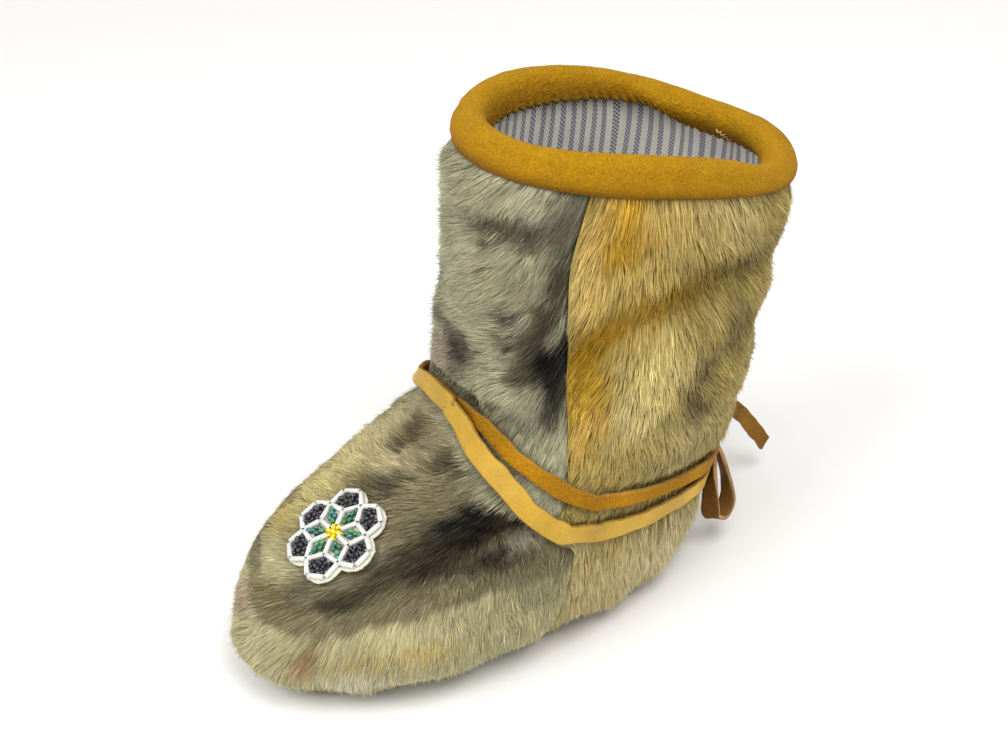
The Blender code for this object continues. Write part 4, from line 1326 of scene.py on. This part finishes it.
BLOTCHES = {
    # row, angle, half height in rows, half width in degrees, degrees of lean a row, colour, strength
    "shaft_front": [
        # Painted shadow: a thin dark line in the fur just under the binding's lower edge.
        (10.86, 170, 0.10, 60, 0, "4a4230", 0.60),
        (9.8, 196, 1.6, 26, 0, "a7a284", 0.55),
        (10.7, 133, 0.50, 6, -6, "5d5843", 0.85),
        (10.62, 152, 0.26, 7, -8, "b2ad90", 0.80),
        (10.70, 172, 0.35, 12, 0, "a59f80", 0.65),
        # Painted shade along the deep crease that runs across the front at about row 10.2.
        (10.26, 149, 0.13, 8, -6, UMBER, 0.80),
        (10.20, 168, 0.11, 14, 0, "5c543c", 0.85),
        (10.40, 140, 0.25, 6, -10, "74705a", 0.70),
        (9.85, 134, 0.40, 5, -8, "4a4333", 0.80),
        (9.30, 139, 0.50, 4.5, -11, UMBER, 0.85),
        (8.90, 145, 0.25, 5, -12, UMBER, 0.75),
        (9.60, 169, 0.08, 3, -20, BROWN, 0.80),
        (9.50, 152, 0.40, 8, -10, "8f896c", 0.65),
        # Painted shade in the short crease at about row 9.
        (8.98, 162, 0.07, 7, 24, SOOT, 0.70),
        (8.36, 141, 0.30, 9, 10, BLACK, 1.0),
        (8.05, 136, 0.36, 5, 4, BLACK, 0.95),
        (7.55, 135, 0.45, 5, 3, "1e1915", 0.95),
        (8.12, 150, 0.16, 6, -8, UMBER, 0.85),
        (8.65, 156, 0.10, 6, 28, UMBER, 0.75),
        (8.10, 183, 0.24, 9, -12, "463d31", 0.95),
        (7.92, 188, 0.14, 6, -20, SOOT, 0.85),
        (8.35, 197, 0.12, 13, -42, "655b4b", 0.80),
        (7.50, 182, 0.32, 5, -10, "655b49", 0.75),
        (7.50, 198, 0.45, 9, -10, ROSE_BROWN, 0.70),
        (7.14, 161, 0.16, 3, -12, SOOT, 0.85),
        (6.92, 175, 0.12, 6, -10, "3a3226", 0.85),
        (7.30, 143, 0.45, 5, -4, "98927a", 0.60),
        (6.90, 150, 0.30, 8, 0, "5f563f", 0.60),
        (8.80, 214, 0.30, 10, -20, UMBER, 0.75),
        (10.10, 216, 0.24, 8, 10, "615840", 0.80),
        (9.50, 226, 0.50, 5, 10, UMBER, 0.75),
        (8.00, 224, 0.30, 6, 0, SOOT, 0.85),
        (7.20, 218, 0.30, 7, 0, OLIVE, 0.60),
    ],
    "shaft_back": [
        # Painted shadow: a thin dark line in the fur just under the binding's lower edge.
        (10.86, 90, 0.10, 60, 0, "6b5a26", 0.60),
        (10.5, 115, 0.60, 10, -4, GOLD, 0.85),
        (9.80, 126, 0.70, 6, -2, STRAW, 0.85),
        (10.0, 118, 0.25, 5, -6, HONEY, 0.50),
        (9.55, 108, 0.30, 7, 0, STRAW, 0.60),
        (10.3, 92, 0.60, 13, 6, "c5ab66", 0.70),
        (10.3, 74, 0.50, 9, 8, "bdab74", 0.70),
        # Along the trough of the first of the CREASES: the fur's own darker mustard and olive, deepened by
        # painted shade in the trough.
        (9.50, 64, 0.24, 8, 0, "7d6936", 0.90),
        (9.52, 80, 0.20, 9, 0, MOSS, 0.85),
        (9.26, 94, 0.22, 9, 0, "957000", 0.95),
        (9.04, 107, 0.24, 9, 0, "a27900", 0.95),
        (8.80, 119, 0.26, 8, 0, "a87e00", 0.95),
        (8.52, 128, 0.30, 6, 0, MUSTARD, 0.95),
        (8.05, 125, 0.42, 6, 0, "a67c00", 0.95),
        (7.60, 124, 0.45, 5, 0, "b48c0c", 0.90),
        # Painted highlight where the fur bulges out on the ridge below that trough.
        (8.20, 98, 0.50, 11, 4, "d6c482", 0.80),
        (8.80, 85, 0.26, 9, 10, "ad9a5c", 0.60),
        (8.55, 67, 0.34, 9, 8, "7f6c44", 0.85),
        (8.00, 78, 0.26, 5, 10, "645238", 0.85),
        (7.60, 83, 0.20, 4, 10, TAN, 0.60),
        (7.12, 73, 0.30, 5, 10, "5d4b36", 0.85),
        (6.55, 71, 0.32, 4, 8, "77634a", 0.75),
        (7.15, 87, 0.10, 3, 10, BROWN, 0.60),
        (7.00, 118, 0.80, 6, 4, "c9a24a", 0.75),
        (7.20, 100, 0.60, 9, 4, "d8c78c", 0.60),
        (6.20, 95, 0.50, 12, 8, "b39c58", 0.65),
        (6.00, 70, 0.70, 12, 8, "b2a373", 0.60),
        (5.00, 62, 0.50, 14, 0, "a99a6a", 0.60),
        (9.60, 30, 0.30, 16, 0, MOSS, 0.60),
        (8.60, 20, 0.50, 12, 0, PALE, 0.60),
        (7.60, 30, 0.35, 9, 10, BROWN, 0.70),
        (6.60, 8, 0.50, 10, 0, "bba86c", 0.60),
        (9.90, 340, 0.50, 14, 0, STRAW, 0.60),
        (8.90, 330, 0.30, 12, 10, TAN, 0.75),
        (8.10, 345, 0.30, 7, 10, BROWN, 0.80),
        (7.00, 335, 0.60, 12, 0, PALE, 0.35),
        (9.30, 292, 0.28, 16, 8, MUSTARD, 0.80),
        (10.4, 262, 0.60, 12, 4, GOLD, 0.80),
        (10.3, 290, 0.60, 12, 0, "c5ab66", 0.60),
        (8.40, 262, 0.60, 12, 0, "ddcc8e", 0.75),
        (8.60, 238, 0.40, 6, 0, HONEY, 0.80),
        (7.40, 285, 0.35, 7, -8, BROWN, 0.75),
        (6.80, 250, 0.90, 8, 0, "cda95c", 0.65),
        (6.00, 300, 0.60, 12, 0, TAN, 0.60),
    ],
    "vamp": [
        (5.55, 202, 0.60, 24, 0, "b5a983", 0.85),
        (4.90, 222, 0.70, 14, 0, "bdb285", 0.80),
        (5.40, 136, 0.36, 11, -12, "17130e", 1.0),
        (5.05, 126, 0.30, 7, 14, "1d1812", 0.95),
        (4.75, 133, 0.40, 10, 4, "221d15", 0.95),
        (4.30, 128, 0.30, 10, 10, "3d3524", 0.90),
        (4.35, 145, 0.34, 8, -10, "544b36", 0.85),
        (3.75, 143, 0.30, 7, -10, "463e2c", 0.85),
        (3.34, 148, 0.18, 7, -14, "453d2b", 0.85),
        (4.38, 108, 0.22, 7, 14, "28231a", 0.90),
        (5.20, 118, 0.20, 5, 14, "26221a", 0.85),
        (4.76, 104, 0.26, 5, 14, "918c7c", 0.80),
        (4.00, 100, 0.20, 6, 10, "524a36", 0.75),
        (5.50, 152, 0.30, 6, 0, "857b5c", 0.70),
        (5.85, 167, 0.18, 8, 0, "50452c", 0.90),
        (5.80, 194, 0.22, 8, -10, "54482f", 0.85),
        (5.32, 180, 0.14, 7, 10, "382e20", 0.90),
        (5.05, 190, 0.14, 7, -16, "5b4c33", 0.85),
        (5.45, 186, 0.12, 7, 0, "c2b48b", 0.60),
        (4.60, 204, 0.70, 12, 0, "c4b67c", 0.80),
        (4.02, 200, 0.18, 8, 0, "b8a55f", 0.75),
        (3.55, 182, 0.35, 12, 0, "bfb68c", 0.80),
        (4.00, 160, 0.50, 7, -6, "a59d7e", 0.75),
        (3.45, 165, 0.30, 8, -8, "6f664b", 0.70),
        (3.02, 172, 0.12, 8, 0, "84753f", 0.85),
        (5.30, 243, 0.30, 9, 0, UMBER, 0.80),
        (4.50, 250, 0.36, 8, 0, SOOT, 0.85),
        (3.90, 256, 0.26, 8, 0, UMBER, 0.70),
        (5.00, 248, 0.30, 8, 0, STONE, 0.50),
    ],
    "rand": [
        # The rand's pale fur, lighter still with a painted highlight.
        (2.50, 121, 0.50, 8, 4, "c8bf92", 0.70),
        (3.00, 108, 0.40, 8, 6, "b0a981", 0.60),
        (1.90, 112, 0.25, 9, 0, "c1ad6e", 0.75),
        (1.80, 130, 0.25, 9, 0, "b9a56b", 0.70),
        (1.85, 148, 0.35, 2.6, 0, "8d6f45", 0.80),
        (1.45, 150, 0.30, 4, 0, "b08a62", 0.65),
        (1.05, 131, 0.30, 10, 0, "cbc5b2", 0.60),
        (2.10, 171, 0.60, 8, -6, "b9b08c", 0.75),
        (2.15, 192, 0.40, 7, -14, "a08a78", 0.85),
        (2.75, 182, 0.20, 6, 10, "bcb498", 0.70),
        (2.90, 86, 0.70, 6, 6, "8f8967", 0.75),
        (3.60, 84, 0.20, 4, 10, "4a4230", 0.80),
        (3.20, 134, 0.25, 8, 0, "8e8765", 0.60),
        (2.60, 140, 0.30, 7, 0, "aea67c", 0.50),
        (2.30, 228, 0.60, 12, 0, "d6cea6", 0.60),
        (1.60, 250, 0.40, 10, 0, "b9a56b", 0.60),
        (2.60, 268, 0.60, 8, 0, "9a936e", 0.60),
        (2.00, 212, 0.30, 6, 0, TAN, 0.60),
    ],
    "heel": [
        (2.60, 58, 0.50, 8, 0, "9c8f68", 0.60),
        (2.00, 77, 1.60, 3.4, 0, "bbab78", 0.80),
        (2.40, 64, 0.80, 7, 0, "c4b37c", 0.70),
        (1.60, 50, 0.60, 12, 0, "c9bd92", 0.70),
        (3.00, 72, 0.30, 6, 0, "b39c5a", 0.60),
        (2.40, 38, 0.60, 8, 0, "b0a27a", 0.60),
        (1.80, 15, 0.60, 12, 0, PALE, 0.50),
        (2.60, 345, 0.50, 12, 0, TAN, 0.60),
        (1.60, 320, 0.60, 14, 0, "c9bd92", 0.60),
        (2.20, 290, 0.90, 7, 0, STRAW, 0.60),
    ],
}
GROUND_COLOUR = {
    "shaft_front": "a9a586",
    "shaft_back": "ab9858",
    "vamp": "8c8261",
    "rand": "b3ab82",
    "heel": "b5a676",
}

HAIR_LONG = 0.0112
HAIR_WIDE = 0.00040
HAIRS = {
    # number of hairs, and the seed that they are drawn with
    "shaft_front": (52000, 1),
    "shaft_back": (65000, 2),
    "vamp": (52000, 3),
    "rand": (46000, 4),
    "heel": (40000, 5),
}
PANELS = list(HAIRS)
FUR_BRIGHT = 1.12  # hairs shade each other, so each one is paler than the coat looks
FUR_DEPTH = 0.30  # and a dark patch, where little light gets between them, is darker still
MIDDLING_COAT = 0.45
SPOT_SPREAD = 1.28  # a spot shows this much of its size, with its edge drawn out along the hairs
SEEN_FROM = 0.90  # how far along its length a hair starts to show
TUFT_APART = 0.0040
TUFT_PULL = 0.36
HAIR_BENDS = (0.0, 0.46, 1.0)
HAIR_RISES = (0.02, 0.62, 1.0)
HAIR_WIDTHS = (0.85, 1.0)
FLYAWAY = 0.10
TOP_ROOTS = 11.38
LOWEST_ROOTS = 0.06
MOST_AREA = 3.4e-5  # the largest area that one row by one degree covers
SKIN_SHADE = 0.9
# painted shade: each hair is darker at its root, where the hairs over it shade it
ROOT_PAINTED_SHADE = 0.80
TIP_SHADE = 1.06
DARK_HAIRS = 0.07  # share of all hairs
DARK_SHADE = 0.58
LIGHT_HAIRS = 0.10
LIGHT_SHADE = 1.25
HIDE_ANGLES = np.arange(0, 360, 2.0)
HIDE_ROWS = 48
TOP_SEAM_HALF = 0.02


def panel_of(row, angle):
    """The panel that each place is on, as an index into the panels' names."""
    row, angle = np.broadcast_arrays(row, angle)
    behind = from_heel(angle) < side_seam_angle(row)
    front_of_foot = np.where(row < pucker_row(angle), PANELS.index("rand"), PANELS.index("vamp"))
    foot = np.where(behind, PANELS.index("heel"), front_of_foot)
    shaft = np.where(behind, PANELS.index("shaft_back"), PANELS.index("shaft_front"))
    return np.where(row < top_line(angle), foot, shaft)


def kept_on_panel(row, angle, behind):
    """The angle, held back at the side seam where a hair would lie across it."""
    over = side_seam_angle(row) - from_heel(angle)
    over = np.minimum(over, 0) if behind else np.maximum(over, 0)
    return angle + np.where(np.mod(angle, 360) < 180, over, -over)


def combing():
    """The combing table for both sides of the foot."""
    mirrored = COMBED[COMBED[:, 1] < MIRRORED_UNDER] * (1, -1, -1) + (0, 360, 0)
    return np.concatenate([COMBED, mirrored])


COMBING = combing()


def hair_lies(row, angle):
    """The way that the hair lies: its shares down the boot and towards greater angles."""
    total = np.zeros((*row.shape, 2))
    for comb_row, comb_angle, degrees in COMBING:
        away = ((row - comb_row) * ROW_MM) ** 2 + (turn_between(angle, comb_angle) * DEGREE_MM) ** 2
        weight = 1 / (away + COMB_REACH**2) ** COMB_FALL
        lies = math.radians(degrees)
        total += weight[..., None] * (math.cos(lies), math.sin(lies))
    return unit(total)


def fur_colour(row, angle, panel):
    """The hair's colour at each place of a panel."""
    colour = np.broadcast_to(linear(GROUND_COLOUR[panel]), (*row.shape, 3)).copy()
    for spot_row, spot_angle, tall, wide, lean, hexes, strength in BLOTCHES[panel]:
        down = row - spot_row
        across = turn_between(angle, spot_angle) - lean * down
        away = ((down / tall) ** 2 + (across / wide) ** 2) / SPOT_SPREAD**2
        share = strength * np.exp(-(away**1.5))
        colour += (linear(hexes) - colour) * share[..., None]
    return colour


def nearest_tufts(places, count, random):
    """The index of a tuft's middle hair for each hair."""
    middles = random.choice(len(places), count, replace=False)
    tree = KDTree(count)
    for k, at in enumerate(middles):
        tree.insert(places[at], k)
    tree.balance()
    return middles[np.array([tree.find(place)[1] for place in places])]


def scatter_roots(panel, count, random):
    """Rows and angles of hair roots, spread evenly over a panel, and the panel's area."""
    rows, angles = [], []
    found, tried = 0, 0
    while found < count:
        row = random.uniform(LOWEST_ROOTS, TOP_ROOTS, count * 6)
        angle = random.uniform(0, 360, count * 6)
        size = read_grid("size", row, angle)
        keep = random.uniform(0, MOST_AREA, len(row)) < size[:, 0] * size[:, 1]
        keep &= panel_of(row, angle) == PANELS.index(panel)
        rows.append(row[keep])
        angles.append(angle[keep])
        found, tried = found + int(keep.sum()), tried + len(row)
    area = found / tried * MOST_AREA * 360 * (TOP_ROOTS - LOWEST_ROOTS)
    return np.concatenate(rows)[:count], np.concatenate(angles)[:count], area


def fur_of(panel):
    """A panel's hairs: each one a thin blade from its root to its tip, lying the way it is combed."""
    count, seed = HAIRS[panel]
    random = np.random.default_rng(seed)
    behind = panel in ("shaft_back", "heel")
    row, angle, area = scatter_roots(panel, count, random)
    size = read_grid("size", row, angle)
    tuft = nearest_tufts(read_grid("skin", row, angle), int(area / TUFT_APART**2), random)
    lies = hair_lies(row, angle)
    stray = np.radians(random.normal(0, 4.5, count) + random.normal(0, 5, count)[tuft])
    down = lies[:, 0] * np.cos(stray) - lies[:, 1] * np.sin(stray)
    across = lies[:, 1] * np.cos(stray) + lies[:, 0] * np.sin(stray)
    long = HAIR_LONG * random.uniform(0.78, 1.18, count) * random.uniform(0.85, 1.12, count)[tuft]
    pull = TUFT_PULL * random.uniform(0.6, 1.2, count)
    lift = 1 + random.uniform(-0.16, 0.10, count) + random.normal(0, 0.05, count)[tuft]
    flyaway = (random.uniform(0, 1, count) < FLYAWAY) * random.uniform(0.1, 0.55, count)

    def place_along(share):
        to_tuft = pull * share**1.5
        at_row = row - down * long * share / size[:, 0] + (row[tuft] - row) * to_tuft
        at_angle = angle + across * long * share / size[:, 1] + turn_between(angle[tuft], angle) * to_tuft
        return at_row, kept_on_panel(at_row, at_angle, behind)

    middle, out = [], []
    for share, rise in zip(HAIR_BENDS, HAIR_RISES):
        at_row, at_angle = place_along(share)
        low, high = read_grid("skin", at_row, at_angle), read_grid("outer", at_row, at_angle)
        height = rise * (lift if share else 1.0) + flyaway * share**3
        middle.append(low + (high - low) * np.broadcast_to(height, row.shape)[:, None])
        out.append(unit(high - low))
    middle, out = np.stack(middle, axis=1), np.stack(out, axis=1)
    middle[..., 2] = np.maximum(middle[..., 2], GAP)
    along = unit(np.gradient(middle, axis=1))
    across_hair = unit(np.cross(along, out))
    roll = random.normal(0, 0.55, count)[:, None, None]
    flat = across_hair * np.cos(roll) + out * np.sin(roll)
    half = HAIR_WIDE / 2 * random.uniform(0.75, 1.25, count)
    points = np.empty((count, 5, 3))
    for k in (0, 1):
        offset = flat[:, k] * (half * HAIR_WIDTHS[k])[:, None]
        points[:, 2 * k], points[:, 2 * k + 1] = middle[:, k] - offset, middle[:, k] + offset
    points[:, 4] = middle[:, 2]
    start = np.arange(count)[:, None] * 5
    faces = (start + (0, 1, 3, 2)).tolist() + (start + (2, 3, 4)).tolist()
    seen_row, seen_angle = place_along(SEEN_FROM)
    seen_row = seen_row + random.normal(0, 0.05, count) + random.normal(0, 0.06, count)[tuft]
    seen_angle = seen_angle + random.normal(0, 1.0, count) + random.normal(0, 1.2, count)[tuft]
    tints = hair_tints(fur_colour(seen_row, seen_angle, panel), tuft, random)
    piece = add_piece(panel + "_fur", points, faces, [seal_fur], tints)
    spread_hairs_on_map(piece, count)


def hair_tints(coat, tuft, random):
    """Five tints a hair: two at its root, darkened by painted shade, two at its middle and one at its pale
    tip.
    """
    count = len(coat)
    bright = (coat.mean(axis=1) / MIDDLING_COAT) ** FUR_DEPTH
    of_hair = random.uniform(0.78, 1.20, count)
    of_tuft = random.uniform(0.90, 1.10, count)[tuft]
    shade = FUR_BRIGHT * bright * of_hair * of_tuft
    base = coat * shade[:, None]
    dark = random.uniform(0, 1, count) < DARK_HAIRS
    base[dark] *= DARK_SHADE
    light = random.uniform(0, 1, count) < LIGHT_HAIRS
    base[light] = base[light] * LIGHT_SHADE + linear(BONE) * 0.03
    root, tip = base * ROOT_PAINTED_SHADE, base * TIP_SHADE
    tints = np.stack([root, root, base, base, tip], axis=1)
    return np.clip(tints, 0, 0.92)


def spread_hairs_on_map(piece, count):
    """A map on which each hair has a cell of its own, with its root at the cell's foot."""
    wide = math.ceil(math.sqrt(count))
    cell = np.stack([np.arange(count) % wide, np.arange(count) // wide], axis=1)
    corner = np.array([(0.15, 0.1), (0.85, 0.1), (0.15, 0.5), (0.85, 0.5), (0.5, 0.95)])
    at = corners_of(piece)
    lay_map(piece, "OFBake", (cell[at // 5] + corner[at % 5]) / wide)


def hide_wall(name, low, high, replaced):
    """The hide under the fur, from one row to another at each angle, with its cut edges."""
    angle = HIDE_ANGLES
    shares = np.linspace(0, 1, HIDE_ROWS)
    rings, rows = [], []
    for share in shares:
        rows.append(low + (high - low) * share)
        rings.append(read_grid("skin", rows[-1], angle))
    for share in shares[::-4]:
        rows.append(low + (high - low) * share)
        rings.append(wall_place(rows[-1], angle, WALL - LINING))
    points, row = np.stack(rings, axis=1), np.stack(rows, axis=1)
    angles = np.broadcast_to(angle[:, None], row.shape)
    panel = panel_of(row, angles)
    tints = np.zeros(points.shape)
    for k, each in enumerate(PANELS):
        on = panel == k
        tints[on] = fur_colour(row, angles, each)[on] * SKIN_SHADE
    faces = ring_faces(len(angle), len(rings))
    add_piece(name, points, faces, [seal_hide], tints, replaced=replaced)


hide_wall("foot_hide", RIM_ROW, top_line(HIDE_ANGLES) - TOP_SEAM_HALF, "upper")
hide_wall("shaft_hide", top_line(HIDE_ANGLES) + TOP_SEAM_HALF, TOP_ROOTS, "shaft")
for fur_panel in PANELS:
    fur_of(fur_panel)


# Floor and light

def add_floor():
    size = 3.0
    corners = [(-size, -size, 0), (size, -size, 0), (size, size, 0), (-size, size, 0)]
    mesh = bpy.data.meshes.new("floor")
    mesh.from_pydata(corners, [], [(0, 1, 2, 3)])
    finish, _, _ = start_material("pale_paper", Roughness=0.9, Base_Color=rgba("f4f3f1"))
    mesh.materials.append(finish)
    add_object("floor", mesh)


def add_softbox(name, place, aim, size, power):
    lamp = bpy.data.lights.new(name, "AREA")
    lamp.shape = "RECTANGLE"
    lamp.size, lamp.size_y = size
    lamp.energy = power
    light = add_object(name, lamp)
    light.location = place
    light.rotation_mode = "QUATERNION"
    light.rotation_quaternion = (Vector(aim) - Vector(place)).to_track_quat("-Z", "Y")


def add_daylight():
    world = bpy.data.worlds.new("studio")
    world.use_nodes = True
    sky = world.node_tree.nodes["Background"]
    sky.inputs["Color"].default_value = rgba("ffffff")
    sky.inputs["Strength"].default_value = 0.72
    bpy.context.scene.world = world


add_floor()
add_daylight()
add_softbox("key", (0.15, -0.95, 1.15), (0, 0, 0.08), (0.8, 0.8), 9)
add_softbox("top", (0.62, 0.10, 1.30), (0, 0, 0.14), (0.7, 0.7), 10)
bpy.context.scene.view_settings.view_transform = "Standard"
